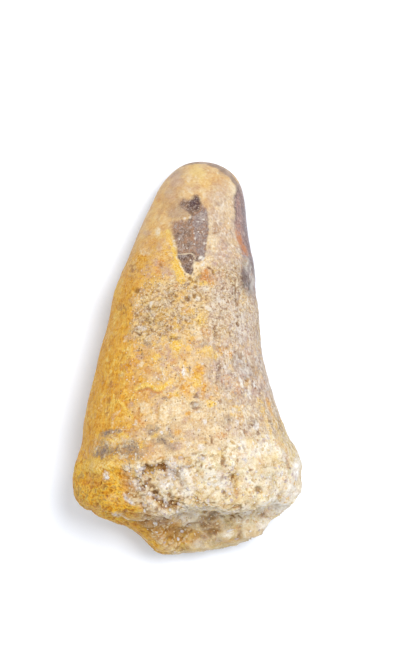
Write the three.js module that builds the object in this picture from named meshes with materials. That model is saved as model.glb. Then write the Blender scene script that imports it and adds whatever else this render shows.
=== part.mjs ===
// A fossil crocodile tooth, broken off at the root and lying on its side.
// Millimetres, +Z up. The tip points to +Y, the broken root end to -Y, and the tooth rests on Z = 0.
// The origin is under the middle of the tooth, on the surface that it rests on.
import * as THREE from "three";
import { mergeVertices } from "three/addons/utils/BufferGeometryUtils.js";

// ---- driving dimensions -------------------------------------------------
const COLUMNS = 76; // facets round the tooth
const SIDE_ROWS = 42; // rings from the tip to the broken rim
const END_ROWS = 13; // rings across the broken face
const END_RISE = 3.2; // how far above the middle of the root those rings draw together
const DOME_LENGTH = 3.6; // the blunt, worn tip
const DOME_POWER = 2.3;
const SECTION_POWER = 2.12; // a little squarer than an ellipse
const FLATNESS_TIP = 0.92; // thickness over width: at the tip, halfway, and at the root
const FLATNESS_MIDDLE = 0.955;
const FLATNESS_ROOT = 0.865;
const TOP_FALL = 0.17; // share of its height that the top loses as it rolls over to the break
const REST_SINK = 0.24; // how much of the underside is worn flat where the tooth rests
const BELLY_LIFT = 0.42; // the underside arches clear of the surface between its two rests

// Rings: distance from the tip, sideways place of the centre, half width.
const RINGS = [
  [0.0, 1.38, 3.55],
  [1.53, 1.47, 3.92],
  [3.97, 1.21, 4.67],
  [6.41, 0.81, 5.36],
  [8.86, 0.4, 5.99],
  [11.3, 0.15, 6.69],
  [13.74, -0.31, 7.21],
  [16.19, -0.35, 7.57],
  [18.63, -0.57, 8.0],
  [21.07, -0.73, 8.46],
  [23.52, -0.67, 9.08],
  [25.96, -0.55, 9.79],
  [28.4, -0.29, 10.39],
  [30.23, 0.1, 10.76],
  [32.07, 0.2, 11.09],
  [33.29, -0.26, 10.88],
  [34.6, -0.45, 11.2],
  [37.0, -0.2, 11.2],
  [42.0, -0.2, 10.9],
];

// The broken root end, as the distance from the tip at which the tooth stops, for each place across it.
// LOWER is the ledge that stands out along the underside, and UPPER the shorter top.
const LOWER = [
  [-13.0, 33.6],
  [-11.6, 34.45],
  [-10.9, 35.05],
  [-10.2, 35.9],
  [-8.7, 36.3],
  [-7.3, 36.7],
  [-5.8, 37.52],
  [-4.9, 38.1],
  [-4.3, 38.7],
  [-3.6, 39.5],
  [-2.9, 40.2],
  [-0.9, 40.2],
  [1.3, 39.88],
  [3.3, 39.4],
  [5.7, 38.9],
  [6.9, 38.6],
  [7.7, 38.0],
  [8.35, 37.3],
  [9.1, 36.35],
  [9.8, 35.45],
  [10.7, 35.0],
  [11.1, 34.45],
  [11.4, 33.3],
  [13.0, 32.0],
];
const UPPER = [
  [-13.0, 33.0],
  [-11.2, 34.3],
  [-9.0, 35.5],
  [-6.0, 36.2],
  [-3.0, 36.3],
  [0.0, 35.9],
  [4.0, 35.9],
  [8.0, 35.4],
  [10.5, 34.2],
  [13.0, 32.0],
];
const LEDGE_HEIGHT = 8.2; // where the lower ledge gives way to the upper part of the break
const LEDGE_SLOPE = 1.7;
const CREVICE_DEPTH = 1.25; // the hollow that runs under the upper part of the break
const CREVICE_WIDTH = 1.0;
const RIM_PASSES = 3; // how far the rim of the break is worn round
const FACE_PASSES = 5; // how far its face is

// ---- small helpers --------------------------------------------------------
const clamp = (x, lo, hi) => Math.min(Math.max(x, lo), hi);
const mix = (a, b, t) => a + (b - a) * t;
const smooth = (lo, hi, x) => {
  const t = clamp((x - lo) / (hi - lo), 0, 1);
  return t * t * (3 - 2 * t);
};

// A smooth curve through the columns of a table, by cubic Hermite pieces.
function through(table, column) {
  const n = table.length;
  const slope = table.map((_, i) => {
    const a = table[Math.max(i - 1, 0)];
    const b = table[Math.min(i + 1, n - 1)];
    return (b[column] - a[column]) / (b[0] - a[0]);
  });
  return (x) => {
    if (x <= table[0][0]) return table[0][column];
    if (x >= table[n - 1][0]) return table[n - 1][column];
    let i = 0;
    while (x > table[i + 1][0]) i++;
    const h = table[i + 1][0] - table[i][0];
    const t = (x - table[i][0]) / h;
    const t2 = t * t;
    const t3 = t2 * t;
    return (
      (2 * t3 - 3 * t2 + 1) * table[i][column] +
      (t3 - 2 * t2 + t) * h * slope[i] +
      (3 * t2 - 2 * t3) * table[i + 1][column] +
      (t3 - t2) * h * slope[i + 1]
    );
  };
}

// Smooth value noise, from -1 to 1, the same on every run.
function hash(x, y, z) {
  let h = Math.imul(x, 374761393) ^ Math.imul(y, 668265263) ^ Math.imul(z, 1274126177);
  h = Math.imul(h ^ (h >>> 13), 1103515245);
  h ^= h >>> 16;
  return ((h >>> 0) / 4294967295) * 2 - 1;
}
function noise(x, y, z) {
  const xi = Math.floor(x);
  const yi = Math.floor(y);
  const zi = Math.floor(z);
  const f = (t) => t * t * t * (t * (t * 6 - 15) + 10);
  const u = f(x - xi);
  const v = f(y - yi);
  const w = f(z - zi);
  const at = (i, j, k) => hash(xi + i, yi + j, zi + k);
  const plane = (k) =>
    mix(mix(at(0, 0, k), at(1, 0, k), u), mix(at(0, 1, k), at(1, 1, k), u), v);
  return mix(plane(0), plane(1), w);
}

// ---- the tooth's own shape ------------------------------------------------
const centreAt = through(RINGS, 1);
const halfAt = through(RINGS, 2);
const lowerAt = through(LOWER, 1);
const upperAt = through(UPPER, 1);

function flatness(d) {
  return mix(
    mix(FLATNESS_TIP, FLATNESS_MIDDLE, smooth(2, 16, d)),
    FLATNESS_ROOT,
    smooth(17, 32, d),
  );
}

// A point of the side wall: d is the distance from the tip, angle goes round from -X over +Z.
function sidePoint(d, angle) {
  const dome =
    d < DOME_LENGTH
      ? Math.pow(1 - Math.pow(1 - d / DOME_LENGTH, DOME_POWER), 1 / DOME_POWER)
      : 1;
  const half = halfAt(d);
  const thick = half * flatness(d);
  const lift = BELLY_LIFT * Math.pow(Math.sin(Math.PI * clamp((d - 6) / 24, 0, 1)), 2);
  const c = -Math.cos(angle);
  const s = Math.sin(angle);
  const e = 2 / SECTION_POWER;
  const above = s > 0 ? 1 - TOP_FALL * smooth(29.5, 37, d) : 1;
  return new THREE.Vector3(
    centreAt(d) + half * dome * Math.sign(c) * Math.pow(Math.abs(c), e),
    -d,
    thick +
      lift -
      REST_SINK +
      thick * above * dome * Math.sign(s) * Math.pow(Math.abs(s), e),
  );
}

// How far from the tip the tooth reaches at a place on the broken face.
function breakAt(x, z) {
  const middle = smooth(11.5, 6, Math.abs(x - 0.4));
  const height = LEDGE_HEIGHT + 3.2 * (1 - middle) + 0.5 * noise(x * 0.35, 3.3, 8.1);
  const up = smooth(height - LEDGE_SLOPE, height + LEDGE_SLOPE * 0.6, z);
  const crevice =
    CREVICE_DEPTH *
    Math.exp(-Math.pow((z - height - 0.3) / CREVICE_WIDTH, 2)) *
    smooth(-4.5, -0.5, x) *
    smooth(9.6, 7.2, x);
  return mix(lowerAt(x), upperAt(x), up) - crevice;
}

const geometry = new THREE.SphereGeometry(1, COLUMNS, SIDE_ROWS + END_ROWS);
const position = geometry.attributes.position;
const axisHeight = sidePoint(34, 0).z + END_RISE;
const axisX = centreAt(34);
for (let i = 0; i <= COLUMNS; i++) {
  const angle = ((i % COLUMNS) / COLUMNS) * 2 * Math.PI;
  let rim = 36;
  for (let k = 0; k < 60; k++) {
    const p = sidePoint(rim, angle);
    rim = mix(rim, breakAt(p.x, p.z), 0.5);
  }
  const edge = sidePoint(rim, angle);
  for (let j = 0; j <= SIDE_ROWS + END_ROWS; j++) {
    let p;
    if (j <= SIDE_ROWS) {
      const t = j / SIDE_ROWS;
      p = sidePoint(((rim * (t * t)) / (t + 0.07)) * 1.07, j === 0 ? 0 : angle);
      if (j === 0) p.set(centreAt(0), 0, sidePoint(0, 0).z);
    } else {
      const s = (SIDE_ROWS + END_ROWS - j) / END_ROWS;
      const x = mix(axisX, edge.x, s);
      const z = mix(axisHeight, edge.z, s);
      p = new THREE.Vector3(x, -breakAt(x, z), z);
    }
    position.setXYZ(j * (COLUMNS + 1) + i, p.x, p.y, p.z);
  }
}

// The rim of the break is worn round.
for (let pass = 0; pass < RIM_PASSES; pass++) {
  const before = position.array.slice();
  for (let j = SIDE_ROWS - 3; j <= SIDE_ROWS + 3; j++) {
    const share = 0.5 * (1 - Math.abs(j - SIDE_ROWS) / 4);
    for (let i = 0; i <= COLUMNS; i++) {
      for (let k = 0; k < 3; k++) {
        const at = (row) => before[(row * (COLUMNS + 1) + i) * 3 + k];
        position.array[(j * (COLUMNS + 1) + i) * 3 + k] = mix(
          at(j),
          (at(j - 1) + at(j + 1)) / 2,
          share,
        );
      }
    }
  }
}
geometry.deleteAttribute("normal");
geometry.deleteAttribute("uv");
const skin = mergeVertices(geometry, 1e-4);

// The broken face is evened out, most of all at its middle, where the facets draw together.
{
  const p = skin.attributes.position;
  const index = skin.index.array;
  const near = Array.from({ length: p.count }, () => new Set());
  for (let i = 0; i < index.length; i += 3) {
    for (let k = 0; k < 3; k++) {
      near[index[i + k]].add(index[i + ((k + 1) % 3)]);
      near[index[i + k]].add(index[i + ((k + 2) % 3)]);
    }
  }
  for (let pass = 0; pass < FACE_PASSES; pass++) {
    const before = p.array.slice();
    for (let i = 0; i < p.count; i++) {
      if (before[3 * i + 1] > -32) continue;
      const r = Math.hypot(before[3 * i] - axisX, before[3 * i + 2] - axisHeight);
      const share = 0.75 * smooth(7.5, 1, r) + 0.12 * smooth(9.5, 8, r);
      if (share === 0) continue;
      let mean = 0;
      for (const k of near[i]) mean += before[3 * k + 1] / near[i].size;
      p.setY(i, mix(before[3 * i + 1], mean, share));
    }
  }
}

// Lumps: faint on the worn crown, strong on the gritty root.
skin.computeVertexNormals();
{
  const p = skin.attributes.position;
  const n = skin.attributes.normal;
  for (let i = 0; i < p.count; i++) {
    const x = p.getX(i);
    const y = p.getY(i);
    const z = p.getZ(i);
    const root = smooth(27.5, 32.5, -y + 1.2 * noise(x * 0.3, 5.5, z * 0.3));
    // The lumps fade at the middle of the break, where the facets draw together.
    const open = y < -30 ? smooth(0, 4, Math.hypot(x - axisX, z - axisHeight)) : 1;
    const lump =
      ((0.1 + 0.25 * root) * noise(x / 5.2 + 9, y / 6.5, z / 5.2) +
        (0.05 + 0.38 * root) * noise(x / 2.5, y / 2.8 + 4, z / 2.5)) *
      open;
    // A low, worn cutting ridge down the upper left of the crown.
    const side = Math.atan2(z - 8.5, -(x - centreAt(-y)));
    const ridge =
      0.16 *
      Math.exp(-Math.pow((side - 0.62) / 0.16, 2)) *
      smooth(4, 9, -y) *
      smooth(27, 18, -y);
    const push = lump + ridge;
    p.setXYZ(
      i,
      x + n.getX(i) * push,
      y + n.getY(i) * push,
      Math.max(z + n.getZ(i) * push, 0),
    );
  }
}
skin.deleteAttribute("normal");

// The origin goes under the middle of the tooth.
skin.computeBoundingBox();
const { min, max } = skin.boundingBox;
skin.translate(-(min.x + max.x) / 2, -(min.y + max.y) / 2, -min.z);
skin.computeVertexNormals();

const fossil = new THREE.MeshStandardMaterial({
  color: new THREE.Color(0.8, 0.6, 0.36),
  roughness: 0.62,
  metalness: 0,
});
const tooth = new THREE.Mesh(skin, fossil);
tooth.name = "tooth";

const part = new THREE.Group();
part.add(tooth);
export default part;
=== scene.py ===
# A fossil crocodile tooth lying on a pale table: its skin, the relief and colours on it, and the sand on its root.
import math

import bpy
import numpy as np
from mathutils import Matrix, Vector


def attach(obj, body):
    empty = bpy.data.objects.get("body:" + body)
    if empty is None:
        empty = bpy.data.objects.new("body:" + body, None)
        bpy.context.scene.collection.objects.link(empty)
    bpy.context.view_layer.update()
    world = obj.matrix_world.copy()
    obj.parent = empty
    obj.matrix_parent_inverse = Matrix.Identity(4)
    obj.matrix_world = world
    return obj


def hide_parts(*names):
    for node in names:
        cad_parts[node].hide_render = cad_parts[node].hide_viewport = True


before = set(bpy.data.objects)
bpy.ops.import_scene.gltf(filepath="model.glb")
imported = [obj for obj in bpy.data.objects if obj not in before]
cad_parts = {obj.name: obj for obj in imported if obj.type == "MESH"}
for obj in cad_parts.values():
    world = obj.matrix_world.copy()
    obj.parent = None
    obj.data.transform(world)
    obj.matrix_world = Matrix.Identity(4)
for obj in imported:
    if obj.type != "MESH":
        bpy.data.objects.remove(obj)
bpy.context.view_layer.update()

MM = 1000.0  # the meshes are made in millimetres and scaled to metres at the end
TARGET_QUADS = 24600  # of each of the two skins, before the last subdivision makes four of each

# ---------------------------------------------------------------- camera
# The camera looks down on the tooth, tip away from it. Shapes that are placed on the upper side are
# given in the units of this view: U to the right and V down, 416 x 670 for the whole frame.
ELEVATION = math.radians(87.5)
DISTANCE, SENSOR = 400.0, 36.0
LENS = SENSOR * DISTANCE / (670 * 0.1012)
TARGET = np.array([2.10, 1.99, 9.0])
FRAME_W, FRAME_H = 416.0, 670.0
CAM = TARGET + DISTANCE * np.array([0.0, -math.cos(ELEVATION), math.sin(ELEVATION)])
FORWARD = np.array([0.0, math.cos(ELEVATION), -math.sin(ELEVATION)])
UPWARD = np.array([0.0, math.sin(ELEVATION), math.cos(ELEVATION)])


def to_view(p):
    q = p - CAM
    depth = q @ FORWARD
    k = FRAME_H * LENS / SENSOR / depth
    return FRAME_W / 2 + q[:, 0] * k, FRAME_H / 2 - (q @ UPWARD) * k


# ---------------------------------------------------------------- numbers
# The light is bright enough to wash the table out, so colours are written as they look in it and are
# turned into what the surface itself reflects, less a little for the sheen that lies over it.
BRIGHT, SHEEN = 1.46, 0.018


def seen_as(r, g, b, a=1.0):
    def one(c):
        c /= 255.0
        c = c / 12.92 if c <= 0.04045 else ((c + 0.055) / 1.055) ** 2.4
        return max(c - SHEEN, 0.15 * c) / BRIGHT

    return (one(r), one(g), one(b), a)


def ss(lo, hi, x):
    t = np.clip((x - lo) / (hi - lo), 0.0, 1.0)
    return t * t * (3 - 2 * t)


def lerp(a, b, t):
    return a + (b - a) * t


_tables = np.random.default_rng(1877)
GRADS = _tables.normal(size=(4096, 3))
GRADS = (GRADS / np.linalg.norm(GRADS, axis=1)[:, None]).astype(np.float32)
GX, GY, GZ = (np.ascontiguousarray(GRADS[:, k]) for k in range(3))
JITTER = _tables.random((4096, 3)).astype(np.float32)
JX, JY, JZ = (np.ascontiguousarray(JITTER[:, k]) for k in range(3))
LOTS = _tables.random((4096, 2))
PRIMES = tuple(np.uint32(k) for k in (73856093, 19349663, 83492791))


def mixed_up(h):
    h = (h ^ (h >> np.uint32(13))) * np.uint32(1274126177)
    h = (h ^ (h >> np.uint32(15))) * np.uint32(2246822519)
    return (h ^ (h >> np.uint32(13))) & np.uint32(4095)


def lattice(p, seed, reach):
    """The cell of each point, its place in the cell, and what the neighbours' cells hash to along each axis."""
    p = np.asarray(p, np.float32)
    cell = np.floor(p)
    f = p - cell
    base = cell.astype(np.int32).view(np.uint32)
    axes = [[(base[:, k] + np.uint32(d % 4294967296)) * PRIMES[k] for d in reach] for k in range(3)]
    axes[0] = [a ^ np.uint32((seed * 265443577 + 12345) % 4294967296) for a in axes[0]]
    return f, axes


def perlin(p, seed=0):
    f, (hx, hy, hz) = lattice(p, seed, (0, 1))
    f0 = [np.ascontiguousarray(f[:, k]) for k in range(3)]
    f1 = [a - 1 for a in f0]
    w = [a * a * a * (a * (a * 6 - 15) + 10) for a in f0]
    planes = []
    for dx in (0, 1):
        x = (f0, f1)[dx][0]
        rows = []
        for dy in (0, 1):
            y = (f0, f1)[dy][1]
            ends = []
            for dz in (0, 1):
                h = mixed_up(hx[dx] ^ hy[dy] ^ hz[dz])
                ends.append(GX[h] * x + GY[h] * y + GZ[h] * (f0, f1)[dz][2])
            rows.append(ends[0] + w[2] * (ends[1] - ends[0]))
        planes.append(rows[0] + w[1] * (rows[1] - rows[0]))
    return 1.7 * (planes[0] + w[0] * (planes[1] - planes[0])).astype(float)


def fbm(p, seed=0, octaves=3, gain=0.5):
    out, amp, total = np.zeros(len(p)), 1.0, 0.0
    for k in range(octaves):
        out += amp * perlin(p * 2.03**k + 7.3 * k, seed + k)
        total += amp
        amp *= gain
    return out / total


def cells_of(p, seed=0, jitter=0.95):
    """Distances to the nearest and second nearest of scattered points, two lots drawn for the nearest,
    and how far up that one's own tilted facet the place is."""
    f, (hx, hy, hz) = lattice(p, seed, (-1, 0, 1))
    fx, fy, fz = (np.ascontiguousarray(f[:, k]) for k in range(3))
    one = np.full(len(f), 9.0, np.float32)
    two = np.full(len(f), 9.0, np.float32)
    lot = np.zeros(len(f), np.uint32)
    tilt = np.zeros(len(f), np.float32)
    for a, dx in enumerate((-1, 0, 1)):
        for b, dy in enumerate((-1, 0, 1)):
            for c, dz in enumerate((-1, 0, 1)):
                h = mixed_up(hx[a] ^ hy[b] ^ hz[c])
                x = fx - (dx + 0.5 + (JX[h] - 0.5) * jitter)
                y = fy - (dy + 0.5 + (JY[h] - 0.5) * jitter)
                z = fz - (dz + 0.5 + (JZ[h] - 0.5) * jitter)
                d = np.sqrt(x * x + y * y + z * z)
                near = d < one
                two = np.where(near, one, np.minimum(two, d))
                lot = np.where(near, h, lot)
                tilt = np.where(near, x * GX[h] + y * GY[h] + z * GZ[h], tilt)
                one = np.where(near, d, one)
    return one.astype(float), two.astype(float), LOTS[lot, 0], LOTS[lot, 1], tilt.astype(float)


def inside(u, v, points):
    """Signed distance to a closed outline, positive inside."""
    pts = np.array(points, float)
    best = np.full(len(u), 1e9)
    hit = np.zeros(len(u), bool)
    for (x0, y0), (x1, y1) in zip(pts, np.roll(pts, -1, 0)):
        dx, dy = x1 - x0, y1 - y0
        t = np.clip(((u - x0) * dx + (v - y0) * dy) / (dx * dx + dy * dy), 0, 1)
        best = np.minimum(best, np.hypot(u - x0 - t * dx, v - y0 - t * dy))
        cross = ((y0 > v) != (y1 > v)) & (
            u < (x1 - x0) * (v - y0) / (y1 - y0 + 1e-12) + x0
        )
        hit ^= cross
    return np.where(hit, best, -best)


def from_line(u, v, points):
    """Distance to an open line, and how far along it the nearest point is, from 0 to 1."""
    pts = np.array(points, float)
    seg = np.hypot(*(pts[1:] - pts[:-1]).T)
    total, done = seg.sum(), 0.0
    best, along = np.full(len(u), 1e9), np.zeros(len(u))
    for (x0, y0), (x1, y1), s in zip(pts[:-1], pts[1:], seg):
        dx, dy = x1 - x0, y1 - y0
        t = np.clip(((u - x0) * dx + (v - y0) * dy) / (s * s), 0, 1)
        d = np.hypot(u - x0 - t * dx, v - y0 - t * dy)
        near = d < best
        best = np.where(near, d, best)
        along = np.where(near, (done + t * s) / total, along)
        done += s
    return best, along


def spot(u, v, cx, cy, rx, ry, turn=0.0, edge=0.35):
    c, s = math.cos(math.radians(turn)), math.sin(math.radians(turn))
    x, y = (u - cx) * c + (v - cy) * s, -(u - cx) * s + (v - cy) * c
    q = np.sqrt((x / rx) ** 2 + (y / ry) ** 2)
    return 1 - ss(1 - edge, 1 + edge, q)


# ---------------------------------------------------------------- mesh helpers
def new_object(name, co, loops, sizes, smooth=True):
    """co in millimetres, loops the corners' vertices, sizes the corners of each face."""
    me = bpy.data.meshes.new(name)
    me.vertices.add(len(co))
    me.vertices.foreach_set("co", np.asarray(co, np.float32).ravel())
    me.loops.add(len(loops))
    me.loops.foreach_set("vertex_index", np.asarray(loops, np.int32))
    me.polygons.add(len(sizes))
    starts = np.concatenate([[0], np.cumsum(sizes)[:-1]]).astype(np.int32)
    me.polygons.foreach_set("loop_start", starts)
    me.polygons.foreach_set("use_smooth", np.full(len(sizes), smooth))
    me.update(calc_edges=True)
    ob = bpy.data.objects.new(name, me)
    bpy.context.scene.collection.objects.link(ob)
    return ob


def arrays(me):
    co = np.zeros(len(me.vertices) * 3, np.float32)
    me.vertices.foreach_get("co", co)
    loops = np.zeros(len(me.loops), np.int32)
    me.loops.foreach_get("vertex_index", loops)
    sizes = np.zeros(len(me.polygons), np.int32)
    me.polygons.foreach_get("loop_total", sizes)
    return co.reshape(-1, 3).astype(float), loops, sizes


def modified(ob, kind, **options):
    """A new object with one modifier's result, in place of the old one."""
    m = ob.modifiers.new(kind, kind)
    for key, value in options.items():
        setattr(m, key, value)
    dg = bpy.context.evaluated_depsgraph_get()
    dg.update()
    me = bpy.data.meshes.new_from_object(ob.evaluated_get(dg))
    co, loops, sizes = arrays(me)
    name = ob.name
    old = ob.data
    bpy.data.objects.remove(ob)
    bpy.data.meshes.remove(old)
    bpy.data.meshes.remove(me)
    return new_object(name, co, loops, sizes)


def edges_of(loops, sizes):
    ends = np.cumsum(sizes)
    nxt = np.arange(1, len(loops) + 1)
    nxt[ends - 1] = ends - sizes
    a, b = loops, loops[nxt]
    e = np.sort(np.stack([a, b], 1), 1)
    return np.unique(e, axis=0)


def averaged(values, edges, count, share=1.0):
    """Each vertex's value moved towards the mean of its neighbours'."""
    flat = values.reshape(len(values), -1)
    out = np.empty_like(flat)
    for k in range(flat.shape[1]):
        total = np.bincount(edges[:, 0], flat[edges[:, 1], k], len(flat)) + np.bincount(
            edges[:, 1], flat[edges[:, 0], k], len(flat)
        )
        out[:, k] = total / count
    return (flat + share * (out - flat)).reshape(values.shape)


def quartered(co, quads):
    """Each quad split into four, with the new points rounded off."""
    edges, which = np.unique(np.sort(np.stack([quads, np.roll(quads, -1, 1)], 2).reshape(-1, 2), 1), axis=0, return_inverse=True)
    which = which.reshape(quads.shape) + len(co)
    middle = np.arange(len(quads)) + len(co) + len(edges)
    new = np.concatenate([co, co[edges].mean(1), co[quads].mean(1)])
    small = np.stack(
        [quads, which, np.repeat(middle[:, None], 4, 1), np.roll(which, 1, 1)], 2
    ).reshape(-1, 4)
    links = edges_of(small.ravel(), np.full(len(small), 4))
    count = np.maximum(np.bincount(links.ravel(), minlength=len(new)), 1)
    for _ in range(3):
        new = averaged(new, links, count, 0.5)
        new = averaged(new, links, count, -0.52)
    return new, small.ravel(), np.full(len(small), 4), links, count


def normals_of(co, loops, sizes):
    """Vertex normals, from quads and triangles."""
    out = np.zeros_like(co)
    starts = np.cumsum(sizes) - sizes
    for n in (3, 4):
        f = starts[sizes == n]
        if not len(f):
            continue
        c = loops[f[:, None] + np.arange(n)]
        p = co[c]
        fn = np.cross(p[:, 2] - p[:, 0], p[:, n - 1] - p[:, 1])
        if n == 3:
            fn = np.cross(p[:, 1] - p[:, 0], p[:, 2] - p[:, 0])
        for k in range(n):
            for axis in range(3):
                out[:, axis] += np.bincount(c[:, k], fn[:, axis], len(co))
    return out / np.maximum(np.linalg.norm(out, axis=1), 1e-12)[:, None]


# ---------------------------------------------------------------- the tooth's skin
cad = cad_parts["tooth"]
co, loops, sizes = arrays(cad.data)
co *= MM
_, first, same = np.unique(np.round(co, 3), axis=0, return_index=True, return_inverse=True)
solid = (co[first], same.ravel()[loops], sizes)

# Sections along the tooth: middle and half width.
tip_y = co[:, 1].max()
ring = new_object("ring", *solid)
ring = modified(ring, "SUBSURF", levels=2, render_levels=2)
smooth = arrays(ring.data)
points = smooth[0]
old = ring.data
bpy.data.objects.remove(ring)
bpy.data.meshes.remove(old)
slots = np.arange(0.25, 34.0, 0.5)
mid_x, half_x, mid_z = [], [], []
for s in slots:
    r = points[np.abs(tip_y - points[:, 1] - s) < 0.4]
    mid_x.append((r[:, 0].max() + r[:, 0].min()) / 2)
    half_x.append((r[:, 0].max() - r[:, 0].min()) / 2)
    mid_z.append((r[:, 2].max() + r[:, 2].min()) / 2)


def root_edge(p, seen):
    """How far a place is past the line where the sandy root end starts, in view units."""
    u, v = to_view(p)
    line = np.interp(u, [70, 100, 125, 150, 180, 205, 230, 260, 300], [458, 461, 464, 461, 453, 450, 440, 436, 432])
    line = lerp(448.0 + 14 * perlin(p / 6.0, 21), line, seen)
    return v + 5.0 * perlin(p / 2.2, 22) + 2.5 * perlin(p / 0.8, 23) - line


def fields(p, n):
    """Everything that the relief and the colours read, at points p (mm) with normals n."""
    f = {}
    u, v = to_view(p)
    d = tip_y - p[:, 1]
    xc, hx, zc = (np.interp(d, slots, k) for k in (mid_x, half_x, mid_z))
    across = (p[:, 0] - xc) / hx
    to_cam = CAM - p
    to_cam /= np.linalg.norm(to_cam, axis=1)[:, None]
    seen = ss(-0.1, 0.15, (to_cam * n).sum(1))  # 1 where the camera sees it
    w1, w2 = perlin(p / 1.5, 11), perlin(p / 1.5, 12)
    w3, w4 = perlin(p / 0.45, 13), perlin(p / 0.45, 14)
    uw, vw = u + 2.6 * w1 + 1.4 * w3, v + 2.6 * w2 + 1.4 * w4  # wandering outlines
    us, vs = u + 0.5 * w1 + 0.7 * w3, v + 0.5 * w2 + 0.7 * w4  # tighter ones
    end = ss(0.35, 0.75, -n[:, 1]) * ss(27.0, 31.0, d)  # the broken face
    edge = root_edge(p, seen)
    root = np.maximum(ss(-3, 5, edge), end)
    f.update(u=u, v=v, uw=uw, vw=vw, us=us, vs=vs, d=d, across=across, seen=seen, end=end, edge=edge, root=root)

    # The dentine wall shows as an amber, fibrous rim at the lower left; elsewhere sand covers it.
    left = ss(0.2, -0.3, (u - 128 - 0.35 * (v - 480)) / 42 + 0.25 * w1) * seen + (1 - seen) * ss(
        0.1, -0.5, across + 0.45 * perlin(p / 4.0, 24)
    )
    rim = ss(0.62, 0.85, np.hypot(across, (p[:, 2] - zc) / np.maximum(hx * 0.85, 1e-3)) + 0.1 * w1)
    dist, _ = from_line(u + 1.5 * w1, v + 1.5 * w2, [(106, 520), (118, 523), (130, 530), (142, 541), (152, 552), (160, 556)])
    below = (1 - ss(7, 14, dist)) * seen * 0.9
    f["fibre"] = root * np.clip(np.maximum(left * lerp(1.0, rim, end * (1 - seen)), below), 0, 1)
    f_tip = 1 - ss(170, 205, v + 4 * w1)
    # A strip of the same wall is bare down the lower right edge.
    bare = ss(-2.5, 2.5, u + 1.5 * w3 - np.interp(v, [420, 440, 455, 470, 480], [272, 279, 286, 290, 296])) * (
        1 - ss(456, 468, v + 3 * w1)
    )
    f["bare"] = bare * seen * ss(408, 425, v)

    f["amber"] = ss(-0.06, -0.70, across + 0.12 * w1 + 0.06 * w3) * (0.45 + 0.55 * ss(225, 315, v)) * (1 - 0.6 * f_tip)
    f["amber"] *= 1 - 0.85 * seen * ss(129, 137, uw + 0.5 * w3) * ss(284, 294, vw) * (1 - ss(333, 345, vw))
    f["drab"] = ss(0.08, 0.62, across + 0.12 * w1) * ss(245, 300, v) + 0.8 * ss(0.16, 0.42, across + 0.1 * w1) * ss(
        178, 205, v
    ) * (1 - ss(250, 290, v))
    start = np.interp(u, [150, 178, 192, 215, 238], [284, 282, 270, 270, 262])
    f["rough"] = ss(-8, 10, vw - lerp(266, start, seen)) * (1 - ss(322, 350, vw)) * ss(-0.72, -0.52, across + 0.08 * w1)
    f["tip"] = 1 - ss(212, 266, v + 4 * w1)
    f["low"] = ss(386, 412, vw) * (1 - 0.9 * f["amber"])
    f["gritty"] = ss(262, 282, vw) * ss(-0.80, -0.55, across + 0.08 * w1)

    # The dark window of enamel.
    outline = [
        (192.6, 197.2), (194.4, 195.2), (196.8, 195), (199, 197), (200.6, 200.5), (201.4, 204), (203.6, 206.4),
        (206.2, 207.6), (207.6, 211), (208, 216), (209, 220), (208.8, 224), (208.6, 230), (208.2, 236), (207.4, 241),
        (206.6, 247), (205.6, 252), (205, 256), (203.4, 260.5), (199.5, 262.6), (196.4, 262), (194.9, 264), (194.2, 268),
        (192.8, 273), (190.5, 275), (188, 274.6), (185.6, 272.4), (183, 269), (181, 265.6), (179.6, 261.6), (178, 257.4),
        (176.8, 254), (176.2, 249), (175.2, 245), (174, 240.5), (172.7, 236), (171.9, 231), (171.4, 226),
        (172, 222.6), (174.6, 220.6), (178, 220), (181, 219.6), (184, 221), (187, 221), (189.6, 218.8),
        (190, 214.5), (187.6, 212), (184.6, 211.4), (181.8, 210.6), (179.4, 208.4), (178.2, 205),
        (178.2, 201.4), (180, 198.8), (183, 198.4), (186.6, 199.6), (189.4, 200.6),
    ]
    sd = inside(us + 0.5 * w3, vs + 0.5 * w4, outline)
    f["window_in"] = sd
    soft = 0.8 + 2.0 * ss(190, 178, u) * (1 - ss(246, 256, v)) + 1.0 * ss(214, 206, v)
    f["window"] = ss(-soft, soft, sd) * seen
    f["window_rim"] = np.exp(-((sd + 0.9) ** 2) / 0.9) * seen
    # Beside its top lobes the crust is only a stain thick.
    f["window"] = np.maximum(f["window"], 0.62 * seen * spot(uw, vw, 181.5, 211, 9, 9, 0, 0.6))
    f["window"] = np.maximum(f["window"], 0.35 * seen * spot(uw, vw, 176, 236, 5, 14, -8, 0.6))
    f["window"] = np.maximum(f["window"], 0.4 * seen * spot(uw, vw, 174, 211, 6, 7, 0, 0.6))
    # Which part of it: 0 purplish black, 0.2 dark brown, 0.34 brown, 0.45 orange-brown, 0.6 purplish grey,
    # 0.75 light grey, 0.88 olive, 1 beige.
    part = np.full(len(p), 0.34)
    part = lerp(part, 0.44, spot(uw, vw, 176.5, 226, 4.5, 6, 0, 0.5))
    part = lerp(part, 0.60, ss(-2, 3, uw - np.interp(v, [200, 220, 240, 256], [189, 191, 193.4, 194.4])))
    part = lerp(part, 0.22, ss(252, 254.5, v) * (1 - ss(193.5, 195, u)))
    part = lerp(part, 0.75, spot(uw, vw, 197, 214, 6.5, 4.5, 0, 0.5))
    part = lerp(part, 0.40, spot(uw, vw, 181, 213, 7.5, 6, 0, 0.5))
    part = lerp(part, 0.30, spot(uw, vw, 183, 203.5, 5.5, 5.0, 0, 0.4))
    part = lerp(part, 0.22, spot(uw, vw, 190, 215, 3.4, 9, 0, 0.5))
    part = lerp(part, 0.04, spot(uw, vw, 195, 203, 6, 9.5, 0, 0.5))
    part = lerp(part, 0.04, spot(uw, vw, 197, 257.5, 2.2, 4.5, 0, 0.5))
    part = lerp(part, 0.34, spot(uw, vw, 184, 263, 4, 4, 0, 0.5) * 0.7)
    f["window_part"] = part

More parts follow.
